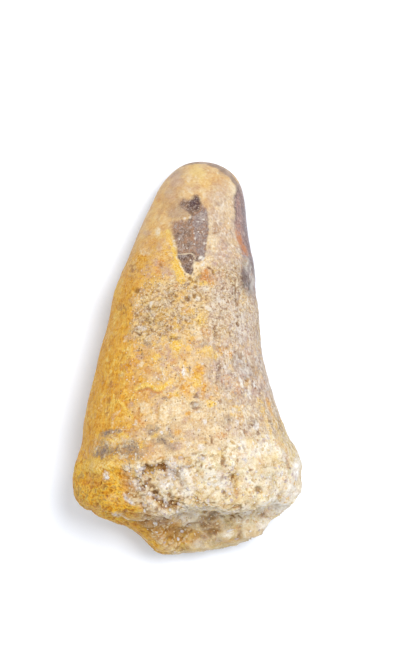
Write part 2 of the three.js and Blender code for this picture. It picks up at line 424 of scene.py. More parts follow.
    # The longer strip of enamel down the right side.
    bound = np.interp(
        v, [150, 180, 197, 208, 215, 222, 232, 240, 248, 258, 269, 277, 290, 298, 306],
        [240, 239, 234, 234.5, 235.5, 235, 236, 237, 240, 242, 239, 240, 241, 246, 252],
    )
    out_r = np.interp(v, [164, 176, 188, 200, 224, 248, 272, 296, 320], [218, 234, 241, 244, 247, 250, 255, 256, 259])
    wide = np.where((n[:, 2] < 0) & (across > 0), 2 * out_r - u, u)
    f["strip_in"] = wide + 1.0 * w3 + 0.8 * w1 - bound
    fray = 1 + 1.8 * ss(252, 266, v)
    f["strip"] = (
        ss(-1.6 * fray, 2.0 * fray, f["strip_in"] - 0.6 * (fray - 1))
        * ss(176, 196, v)
        * (1 - ss(286, 304, v + 3 * w2 + 9 * (1 - seen) * perlin(p / 3.0, 25)))
        * (1 - ss(16, 34, wide + 5 * w1 - out_r))
    )
    # 0 dark brown, 0.25 mauve, 0.5 orange, 0.75 lavender, 1 greenish black.
    part = 0.27 + 0.06 * w1
    part = lerp(part, 0.04, (1 - ss(0.8, 3.2, f["strip_in"])) * (1 - ss(214, 232, v)))
    part = lerp(part, 0.5, spot(uw, vw, 238.5, 237.5, 4, 5, 0, 0.4))
    part = lerp(part, 0.5, spot(uw, vw, 243, 246, 4, 6, -35, 0.4))
    part = lerp(part, 0.75, ss(250, 258, vw))
    part = lerp(part, 0.95, spot(uw, vw, 245, 284, 7, 10, 0, 0.5))
    f["strip_part"] = part
    return f


def crown_relief(p, n, f):
    rugged = 1 - 0.8 * f["tip"]
    soft = 1 - 0.5 * f["amber"]
    h = 0.06 * perlin(p / 3.1, 31) + 0.04 * perlin(p / 1.3, 32) * rugged
    h += (0.012 + 0.03 * f["gritty"] + 0.03 * f["rough"]) * fbm(p / 0.55, 33, 3, 0.65) * rugged * soft
    # Fine lines that run along the tooth.
    run = p * np.array([1 / 0.34, 1 / 3.8, 1 / 0.34])
    h += 0.03 * perlin(run, 34) * (0.15 + 0.5 * f["amber"] + 0.5 * f["drab"] + 1.6 * f["bare"]) * rugged
    # Flaked crust in the rough band: small tilted plates with gaps between.
    warp = 0.3 * np.stack([perlin(p / 0.8, s) for s in (35, 36, 37)], 1)
    one, two, lot, lot2, tilt = cells_of(p / 0.85 + warp, 38)
    gap = 1 - ss(0.0, 0.13, two - one)
    patchy = ss(-0.25, 0.35, perlin(p / 1.9, 39))
    share = np.clip(0.55 * f["rough"] * patchy + 0.12 * f["gritty"], 0, 1)
    h += share * (0.08 * (lot - 0.5) + 0.16 * tilt - 0.03 * gap)
    h += 0.045 * f["rough"] * perlin(p / 0.33, 40)
    return h, 0.35 * share * gap * ss(0.4, 0.8, lot2)


# Pits and dark hollows, given one by one: U, V, radius across, radius down, depth in mm.
HOLLOWS = [
    (136.5, 290, 3.2, 3.0, 0.28), (161, 264.5, 2.0, 2.2, 0.14), (147, 295, 1.7, 1.1, 0.14), (131, 305, 1.4, 1.4, 0.12),
    (125, 309, 1.4, 2.6, 0.10), (123, 313, 1.2, 1.1, 0.12), (148, 308.5, 1.6, 1.0, 0.12), (147, 314, 1.0, 1.0, 0.10),
    (137, 328, 1.6, 2.4, 0.16), (140, 334.5, 3.0, 1.2, 0.16), (146.5, 319, 1.6, 1.9, 0.2), (149, 322, 1.6, 1.3, 0.18),
    (159, 334.5, 1.8, 1.5, 0.14), (151, 329, 1.4, 1.2, 0.12), (170.5, 319.5, 1.2, 1.0, 0.14), (170.5, 327.5, 1.0, 1.8, 0.14),
    (186, 320.5, 1.1, 1.0, 0.14), (171.5, 337, 1.4, 2.0, 0.14), (175.5, 338.5, 2.0, 1.8, 0.12), (169.5, 340.5, 1.3, 1.2, 0.12),
    (163, 304, 1.7, 1.2, 0.10), (172, 283.5, 1.2, 1.3, 0.12), (177.5, 290.5, 1.1, 1.3, 0.16), (181.5, 291.5, 1.1, 0.9, 0.14),
    (170, 295, 1.6, 2.6, 0.10), (189.5, 278, 1.3, 1.6, 0.18), (195.5, 281, 1.8, 1.6, 0.18), (195, 287.3, 2.4, 1.5, 0.18),
    (188, 284.5, 2.4, 1.2, 0.12), (187.5, 298.8, 2.6, 2.2, 0.14), (193.8, 296.2, 1.5, 2.0, 0.16), (183, 302.5, 1.2, 0.9, 0.12),
    (205.5, 299.5, 1.3, 1.2, 0.14), (208, 303, 2.2, 1.3, 0.10), (194.5, 305.5, 1.4, 1.0, 0.12), (202, 307.5, 1.6, 1.0, 0.12),
    (209.5, 268, 2.2, 1.1, 0.2), (213, 272.5, 1.1, 2.4, 0.18), (219, 272.5, 2.8, 0.9, 0.08), (223, 288.5, 2.4, 1.0, 0.12),
    (228, 295.5, 1.8, 1.0, 0.08), (235.5, 267.5, 1.4, 0.9, 0.12), (234.3, 277, 0.9, 1.4, 0.14), (233, 286, 1.7, 1.1, 0.12),
    (232.5, 293, 0.9, 1.0, 0.12), (236.8, 301.5, 0.8, 3.2, 0.14), (237.5, 316, 1.4, 1.1, 0.12), (237.5, 323.5, 1.2, 1.8, 0.16),
    (214.5, 327.5, 1.5, 2.4, 0.12), (216, 334, 1.2, 3.0, 0.14), (230, 336, 0.8, 5.0, 0.08), (232.5, 323.3, 0.6, 0.6, 0.12),
    (203.5, 340, 1.2, 1.0, 0.10), (208.5, 338, 1.0, 0.8, 0.08), (219, 347.5, 2.2, 0.9, 0.10), (227, 348, 1.4, 0.9, 0.10),
    (137.5, 350, 1.2, 1.0, 0.10), (118, 357, 1.4, 1.1, 0.08), (196.5, 395, 1.8, 1.7, 0.14), (216, 382, 1.2, 1.5, 0.12),
    (225.5, 364, 0.8, 1.2, 0.10), (222, 401.5, 1.3, 0.8, 0.10), (240, 424.3, 1.2, 0.9, 0.12), (208, 421.3, 1.0, 1.2, 0.10),
    (216.3, 421.5, 0.8, 1.4, 0.10), (211.8, 441, 0.9, 3.4, 0.14), (205, 438, 1.4, 1.4, 0.10), (177, 393.5, 1.2, 0.7, 0.08),
    (252.5, 425, 2.0, 1.2, 0.12), (258.5, 432, 1.2, 3.0, 0.12), (243, 433.5, 3.2, 0.7, 0.06), (270, 421.5, 1.4, 1.0, 0.10),
    (240, 358, 2.2, 0.8, 0.10), (248, 365, 1.0, 1.6, 0.12), (253, 367, 1.8, 1.0, 0.10), (246.5, 380.5, 1.8, 1.2, 0.12),
    (252.5, 381, 0.9, 1.6, 0.12), (255.5, 388, 0.8, 1.0, 0.12), (246.5, 388, 1.6, 1.0, 0.10), (259.5, 393.5, 0.8, 0.8, 0.10),
    # the root end
    (101, 482.5, 1.3, 1.6, 0.16), (104, 486.5, 2.2, 1.4, 0.18), (110.5, 490, 1.6, 1.3, 0.2), (119.5, 473.5, 1.2, 1.4, 0.2),
    (123.5, 475, 1.0, 1.5, 0.16), (112.5, 471, 0.8, 1.6, 0.12), (145, 482.5, 1.6, 2.6, 0.34), (149.5, 479.5, 2.0, 1.0, 0.26),
    (152, 486, 3.4, 2.4, 0.2), (156, 491, 3.6, 1.6, 0.26), (145.5, 465.5, 1.2, 1.0, 0.22), (155, 461.5, 1.2, 1.1, 0.22),
    (159.8, 468, 1.2, 1.8, 0.26), (166, 476, 2.4, 3.0, 0.16), (157.5, 479.5, 1.6, 1.0, 0.2), (127, 492.5, 1.6, 1.2, 0.24),
    (133, 495.5, 4.0, 1.0, 0.26), (142, 495.5, 3.6, 1.0, 0.24), (138.5, 503, 4.0, 1.4, 0.3), (169, 494.5, 1.6, 2.8, 0.36),
    (172, 500, 1.8, 3.6, 0.36), (174.5, 508, 1.8, 2.6, 0.3), (156.5, 508, 1.8, 1.8, 0.32), (149.5, 503, 1.3, 1.0, 0.22),
    (124.5, 512.5, 2.6, 2.0, 0.3), (133.5, 520.3, 3.4, 1.3, 0.34), (127, 523.5, 2.6, 1.4, 0.2), (144.5, 520.5, 3.0, 2.0, 0.22),
    (97, 504.5, 1.8, 1.6, 0.2), (90, 510, 3.0, 1.2, 0.16), (166, 519.5, 3.4, 1.2, 0.2), (183.5, 503, 1.8, 2.6, 0.2),
    (194, 454, 3.0, 1.6, 0.2), (203, 456, 3.2, 1.2, 0.22), (212, 455.5, 2.6, 1.0, 0.2), (198, 462, 3.2, 1.0, 0.16),
    (201.5, 466, 1.2, 2.4, 0.26), (210, 468.5, 1.8, 1.4, 0.26), (223, 461, 2.0, 4.6, 0.28), (226, 466, 1.2, 1.6, 0.24),
    (238, 460.5, 0.8, 2.0, 0.22), (243, 449, 1.2, 4.0, 0.16), (230, 473, 1.3, 1.3, 0.24), (221.5, 478.5, 1.8, 3.0, 0.18),
    (224.5, 494, 1.7, 5.4, 0.22), (250.5, 470, 2.0, 1.0, 0.2), (258.5, 490, 3.4, 3.0, 0.36), (254.5, 496.5, 1.6, 1.0, 0.2),
    (276, 482.5, 1.2, 1.6, 0.14), (270.5, 479.5, 1.0, 1.0, 0.12), (213.5, 503, 2.2, 1.4, 0.26), (205, 512, 3.0, 1.6, 0.3),
    (213, 514, 5.0, 2.4, 0.42), (211, 518.5, 6.0, 2.2, 0.46), (222, 517, 3.6, 1.2, 0.24), (233.5, 517.5, 2.6, 1.0, 0.34),
    (237.5, 514, 2.4, 0.9, 0.3), (240.5, 517.3, 2.6, 0.7, 0.26), (230, 520.5, 3.4, 1.3, 0.26), (278, 495.5, 2.4, 1.8, 0.12),
    (262, 514.5, 2.6, 2.0, 0.16), (266.5, 517, 2.4, 1.0, 0.16), (202, 525, 3.6, 2.4, 0.22), (211.5, 533, 5.0, 3.4, 0.22),
    (204, 529, 2.6, 3.4, 0.14), (190.5, 532, 1.2, 3.4, 0.12), (176, 546, 3.6, 1.4, 0.14), (167, 538, 3.0, 1.8, 0.12),
    (203, 537, 3.4, 1.4, 0.1), (240.5, 534, 0.9, 4.0, 0.1), (182.5, 527, 5.0, 1.2, 0.2), (286.5, 463, 1.4, 5.0, 0.14),
]
# Thin cracks: points, half width in view units, depth in mm.
CRACKS = [
    ([(154, 331), (157, 329), (160, 327), (164, 325.4), (170, 326.6)], 0.55, 0.14),
    ([(148, 326.5), (151, 330), (154, 332), (158, 333)], 0.55, 0.12),
    ([(208, 266.5), (211, 268.6), (213, 271), (214, 275)], 0.7, 0.14),
    ([(216, 263), (218.5, 266), (220, 268.5)], 0.5, 0.08),
    ([(234, 283), (235.5, 290), (236, 297), (237, 303), (237.6, 308)], 0.6, 0.12),
    ([(236.2, 313), (237.6, 317), (237.2, 322), (238.4, 327)], 0.6, 0.12),
    ([(217, 319), (219, 316.4), (224, 316), (229, 316.4)], 0.5, 0.1),
    ([(230, 331), (229.6, 338), (231, 345)], 0.5, 0.06),
    ([(202, 362.5), (205, 366), (209, 369.6), (214, 371)], 0.6, 0.1),
    ([(216, 372), (217, 378), (216.4, 384)], 0.6, 0.1),
    ([(137, 391.5), (143, 389.5), (149, 388), (155, 391.5), (161, 392)], 0.7, 0.09),
    ([(191.5, 408.6), (196, 409), (201, 408.4)], 0.7, 0.12),
    ([(239, 428), (242, 430), (245, 434), (246, 438)], 0.55, 0.1),
    ([(277, 418), (280, 425), (281.5, 431), (284, 438)], 0.6, 0.08),
    ([(210, 455.5), (214, 456.2), (219, 455.4)], 0.6, 0.14),
    ([(231.5, 518), (235, 515.6), (238, 513), (241, 511)], 0.55, 0.2),
    ([(235, 517.6), (239, 516.8), (244, 517.6)], 0.5, 0.18),
    ([(254, 497.5), (256.5, 495), (258, 492)], 0.5, 0.14),
    ([(136, 497), (139, 500.5), (143, 502.5)], 0.7, 0.2),
    ([(160, 516), (165, 518.5), (170, 521)], 0.7, 0.16),
    ([(186, 524.6), (193, 524.4), (199, 522.4), (204, 519)], 0.9, 0.2),
    ([(225, 213), (226.6, 216), (225.4, 219.5)], 0.5, 0.05),
    ([(211, 226), (210.4, 229.5), (212.6, 232.4), (216, 233)], 0.5, 0.05),
]


def relief(p, n, f):
    """How far each point moves out along its normal, and the marks that the relief leaves for the colours."""
    seen, root = f["seen"], f["root"]
    h, pits = crown_relief(p, n, f)
    pits = pits * 0.5

    for cx, cy, rx, ry, depth in HOLLOWS:
        near = np.flatnonzero((np.abs(f["u"] - cx) < rx + 4) & (np.abs(f["v"] - cy) < ry + 4) & (seen > 0))
        k = spot(f["us"][near], f["vs"][near], cx, cy, rx, ry, 25 * math.sin(cx), 0.5) * seen[near]
        h[near] -= depth * 0.6 * k
        pits[near] = np.maximum(pits[near], k * min(0.85, 0.2 + depth / 0.42))
    for points, half, depth in CRACKS:
        dist, along = from_line(f["us"], f["vs"], points)
        k = (1 - ss(half * 0.6, half * 2.0, dist)) * seen * ss(0, 0.1, along) * ss(1, 0.9, along)
        k *= 0.45 + 0.55 * ss(-0.3, 0.3, perlin(p / 0.6, 48))
        h -= 0.5 * depth * k
        pits = np.maximum(pits, 0.5 * k)
    # Small scattered pits, many in the rough band and few elsewhere.
    warp = 0.3 * np.stack([perlin(p / 0.45, s) for s in (41, 42, 43)], 1)
    for scale, seed, amount, deep in ((0.8, 44, 0.30, 0.09), (0.5, 45, 0.42, 0.06)):
        one, two, lot, lot2, tilt = cells_of(p / scale + warp, seed)
        often = (0.04 + 0.5 * f["rough"] + 0.18 * f["gritty"]) * (1 - f["tip"]) * (1 - root)
        k = ss(0.30 * (0.4 + lot2), 0.06, one) * (lot < often * amount)
        h -= 0.7 * deep * k
        pits = np.maximum(pits, 0.55 * k)

    # A soft shoulder down the left flank, where the smooth wall gives way to crust.
    dist, along = from_line(f["u"], f["v"], [(136, 285), (134, 310), (133, 345), (127, 380), (118, 405), (110, 440)])
    h += 0.12 * np.exp(-((dist / 4.5) ** 2)) * seen
    # Worm-like ridges of yellow crust.
    for points, half, high in (
        ([(137, 390), (142, 387), (147, 384.6), (151, 386.6), (156, 389.6), (160, 389.4), (164, 386), (169, 382.4)], 2.2, 0.13),
        ([(112, 403.5), (114.5, 400.6), (119, 401.4), (123, 403.6)], 1.9, 0.1),
        ([(126, 399.6), (131, 398), (134, 395)], 1.0, 0.1),
    ):
        dist, along = from_line(f["us"], f["vs"], points)
        h += 0.6 * high * np.exp(-((dist / half) ** 2)) * seen * (0.5 + ss(-0.4, 0.4, perlin(p / 0.7, 49)))
    # Blocks of crust that stand a little proud.
    for cx, cy, rx, ry, turn, high in (
        (145, 408, 5.5, 5.5, 0, 0.1), (163.5, 412, 5, 8, 0, 0.14), (176.5, 411, 6, 12, -25, 0.1), (251.5, 444, 5.5, 6.5, 10, 0.12),
        (242.6, 433.5, 1.8, 4.6, -25, 0.12), (240.5, 382.5, 1.6, 5.6, -18, 0.12), (267, 441, 5, 8, -15, 0.14),
        (234, 442, 4, 2, -10, 0.1), (196.5, 331, 6, 10, 0, 0.1), (201, 319, 5, 6, 0, 0.08), (208, 308.5, 5, 1.8, 30, 0.12),
        (197.5, 299, 2.2, 2.6, 0, 0.14), (191, 293, 4.5, 4.5, 0, 0.1), (206, 289.5, 3, 3, 0, 0.08), (207, 404, 6, 4, 0, 0.08),
        (151.5, 304.5, 2.6, 3.4, 20, 0.1), (130, 318, 3.5, 8, 0, 0.1), (236, 358, 4, 4, 0, 0.06),
    ):
        h += high * spot(f["us"], f["vs"], cx, cy, rx, ry, turn, 0.5) * seen

    # The window lies a little lower than the crust round it.
    h -= 0.06 * f["window"] * ss(-0.6, 1.8, f["window_in"])
    h += 0.025 * f["window_rim"]
    h += f["window"] * (0.018 * fbm(p / 0.5, 51, 2) + 0.01 * perlin(p / 0.25, 52))
    h -= 0.03 * ss(-4, 5, f["strip_in"]) * f["strip"]
    h += f["strip"] * 0.02 * perlin(p * np.array([1 / 0.5, 1 / 1.6, 1 / 0.5]), 53)

    # The root end: cemented sand, as tilted grains of two sizes on low lumps with pockets between.
    u, v = f["u"], f["v"]
    loose = 0.35 + 0.5 * ss(215, 165, u) * seen * ss(455, 470, v) - 0.25 * ss(235, 260, u) * seen
    loose = np.where(seen > 0.5, loose, 0.45) - 0.25 * ss(524, 534, v) * seen
    warp = 0.3 * np.stack([perlin(p / 1.0, s) for s in (61, 62, 63)], 1)
    one, two, lot, lot2, tilt = cells_of(p / 1.05 + warp, 64)
    gap = 1 - ss(0.02, 0.20, two - one)
    three, four, lot3, lot4, tilt2 = cells_of(p / 0.5 + warp * 1.8, 65)
    gap2 = 1 - ss(0.0, 0.16, four - three)
    grainy = ss(-0.35, 0.35, perlin(p / 2.4, 66) + loose - 0.45)
    pocket = ss(0.30, 0.75, perlin(p / 1.8, 67) + 0.35 * (loose - 0.4))
    sandy = root * (1 - 0.92 * f["fibre"]) * (1 - 0.9 * f["bare"])
    grain = grainy * (0.10 * (lot - 0.5) + 0.22 * tilt - 0.05 * gap) + (0.3 + 0.7 * grainy) * (
        0.05 * (lot3 - 0.5) + 0.10 * tilt2 - 0.02 * gap2
    )
    lumps = 0.20 * perlin(p / 2.7, 68) + 0.17 * perlin(p / 1.35, 69) + 0.04 * perlin(p / 0.6, 70)
    crust = 0.02 + lumps + grain - 0.24 * pocket * loose * 2
    h = lerp(h, h * 0.8 + crust, sandy)
    up = 0.62 + 1.5 * grain + 1.0 * lumps - 0.5 * pocket * loose * 2
    pits = np.maximum(pits, sandy * np.clip(0.35 * gap * grainy * ss(0.5, 0.9, lot2) + 0.55 * pocket * loose, 0, 1) * 0.8)

    # Fibres in the amber wall: short splits that fan down to the left.
    turn = np.radians(np.clip(-72 + 1.1 * (f["u"] - 80), -75, -20))
    along = p[:, 0] * np.cos(turn) + p[:, 1] * np.sin(turn)
    over = -p[:, 0] * np.sin(turn) + p[:, 1] * np.cos(turn)
    lines = perlin(np.stack([along / 1.1, over / 0.24, p[:, 2] / 0.9], 1), 71)
    lines2 = perlin(np.stack([along / 0.7, over / 0.15, p[:, 2] / 0.6], 1), 72)
    split = ss(0.2, 0.6, lines + 0.4 * lines2) * f["fibre"] * ss(6, 22, f["edge"])
    h = h + f["fibre"] * ((0.05 * lines + 0.03 * lines2) * ss(2, 16, f["edge"]) + 0.09 * perlin(p / 1.6, 73)) - 0.07 * split
    h += 0.16 * f["fibre"] * np.maximum(spot(f["us"], f["vs"], 97, 466, 17, 6.5, -5, 0.4), spot(f["us"], f["vs"], 117, 464, 9, 4, 10, 0.4))
    pits = np.maximum(pits, 0.5 * split)

    # The hollow between the upper part of the break and the ledge.
    dist, along = from_line(
        f["us"], f["vs"], [(168, 528), (186, 526), (198, 522), (212, 517), (226, 518), (243, 516), (258, 513), (270, 507)]
    )
    k = (1 - ss(1.0, 5.5, dist)) * seen * ss(0, 0.25, along) * ss(1, 0.85, along)
    h -= 0.07 * k
    # The broken margin at the lower right.
    h += 0.34 * root * seen * ss(262, 282, u) * ss(482, 496, v) * perlin(p / 0.95, 91)
    # Lumps on the ledge.
    for cx, cy, rx, ry, high in (
        (228, 534, 8, 6, 0.28), (250, 530, 9, 8, 0.28), (190, 541, 9, 7, 0.22), (170, 544, 9, 6, 0.18), (212, 531, 8, 6, -0.26),
        (240, 533, 2.4, 8, -0.16), (178, 533, 8, 4, -0.16), (160, 534, 7, 6, 0.14), (201, 524, 8, 3.4, -0.2), (262, 523, 6, 5, 0.16),
        (205, 543, 7, 3.4, 0.14),
    ):
        h += high * spot(f["us"], f["vs"], cx, cy, rx, ry, 0, 0.7) * seen
    # Colour of the crust: brownish to the left, cream to the right, drab on the ledge.
    pale = ss(178, 222, u + 12 * perlin(p / 2.6, 74)) * (1 - 0.75 * ss(520, 532, v + 3 * perlin(p / 1.5, 75)))
    pale = lerp(0.5 + 0.5 * perlin(p / 4.0, 76), pale, seen)
    ledge = lerp(0.3 + 0.4 * perlin(p / 4.5, 77), ss(518, 530, v + 3 * perlin(p / 1.5, 75)), seen)
    marks = {
        "grain_lines": np.clip(0.5 + 0.8 * (lines + 0.5 * lines2), 0, 1), "pale_sand": np.clip(pale, 0, 1),
        "ledge": np.clip(ledge, 0, 1), "pits": np.clip(pits, 0, 1), "sandy": sandy, "up": np.clip(up, 0, 1), "lot": lot, "lot3": lot3,
        "grainy": grainy, "shade": k, "loose": loose,
    }
    return h, marks
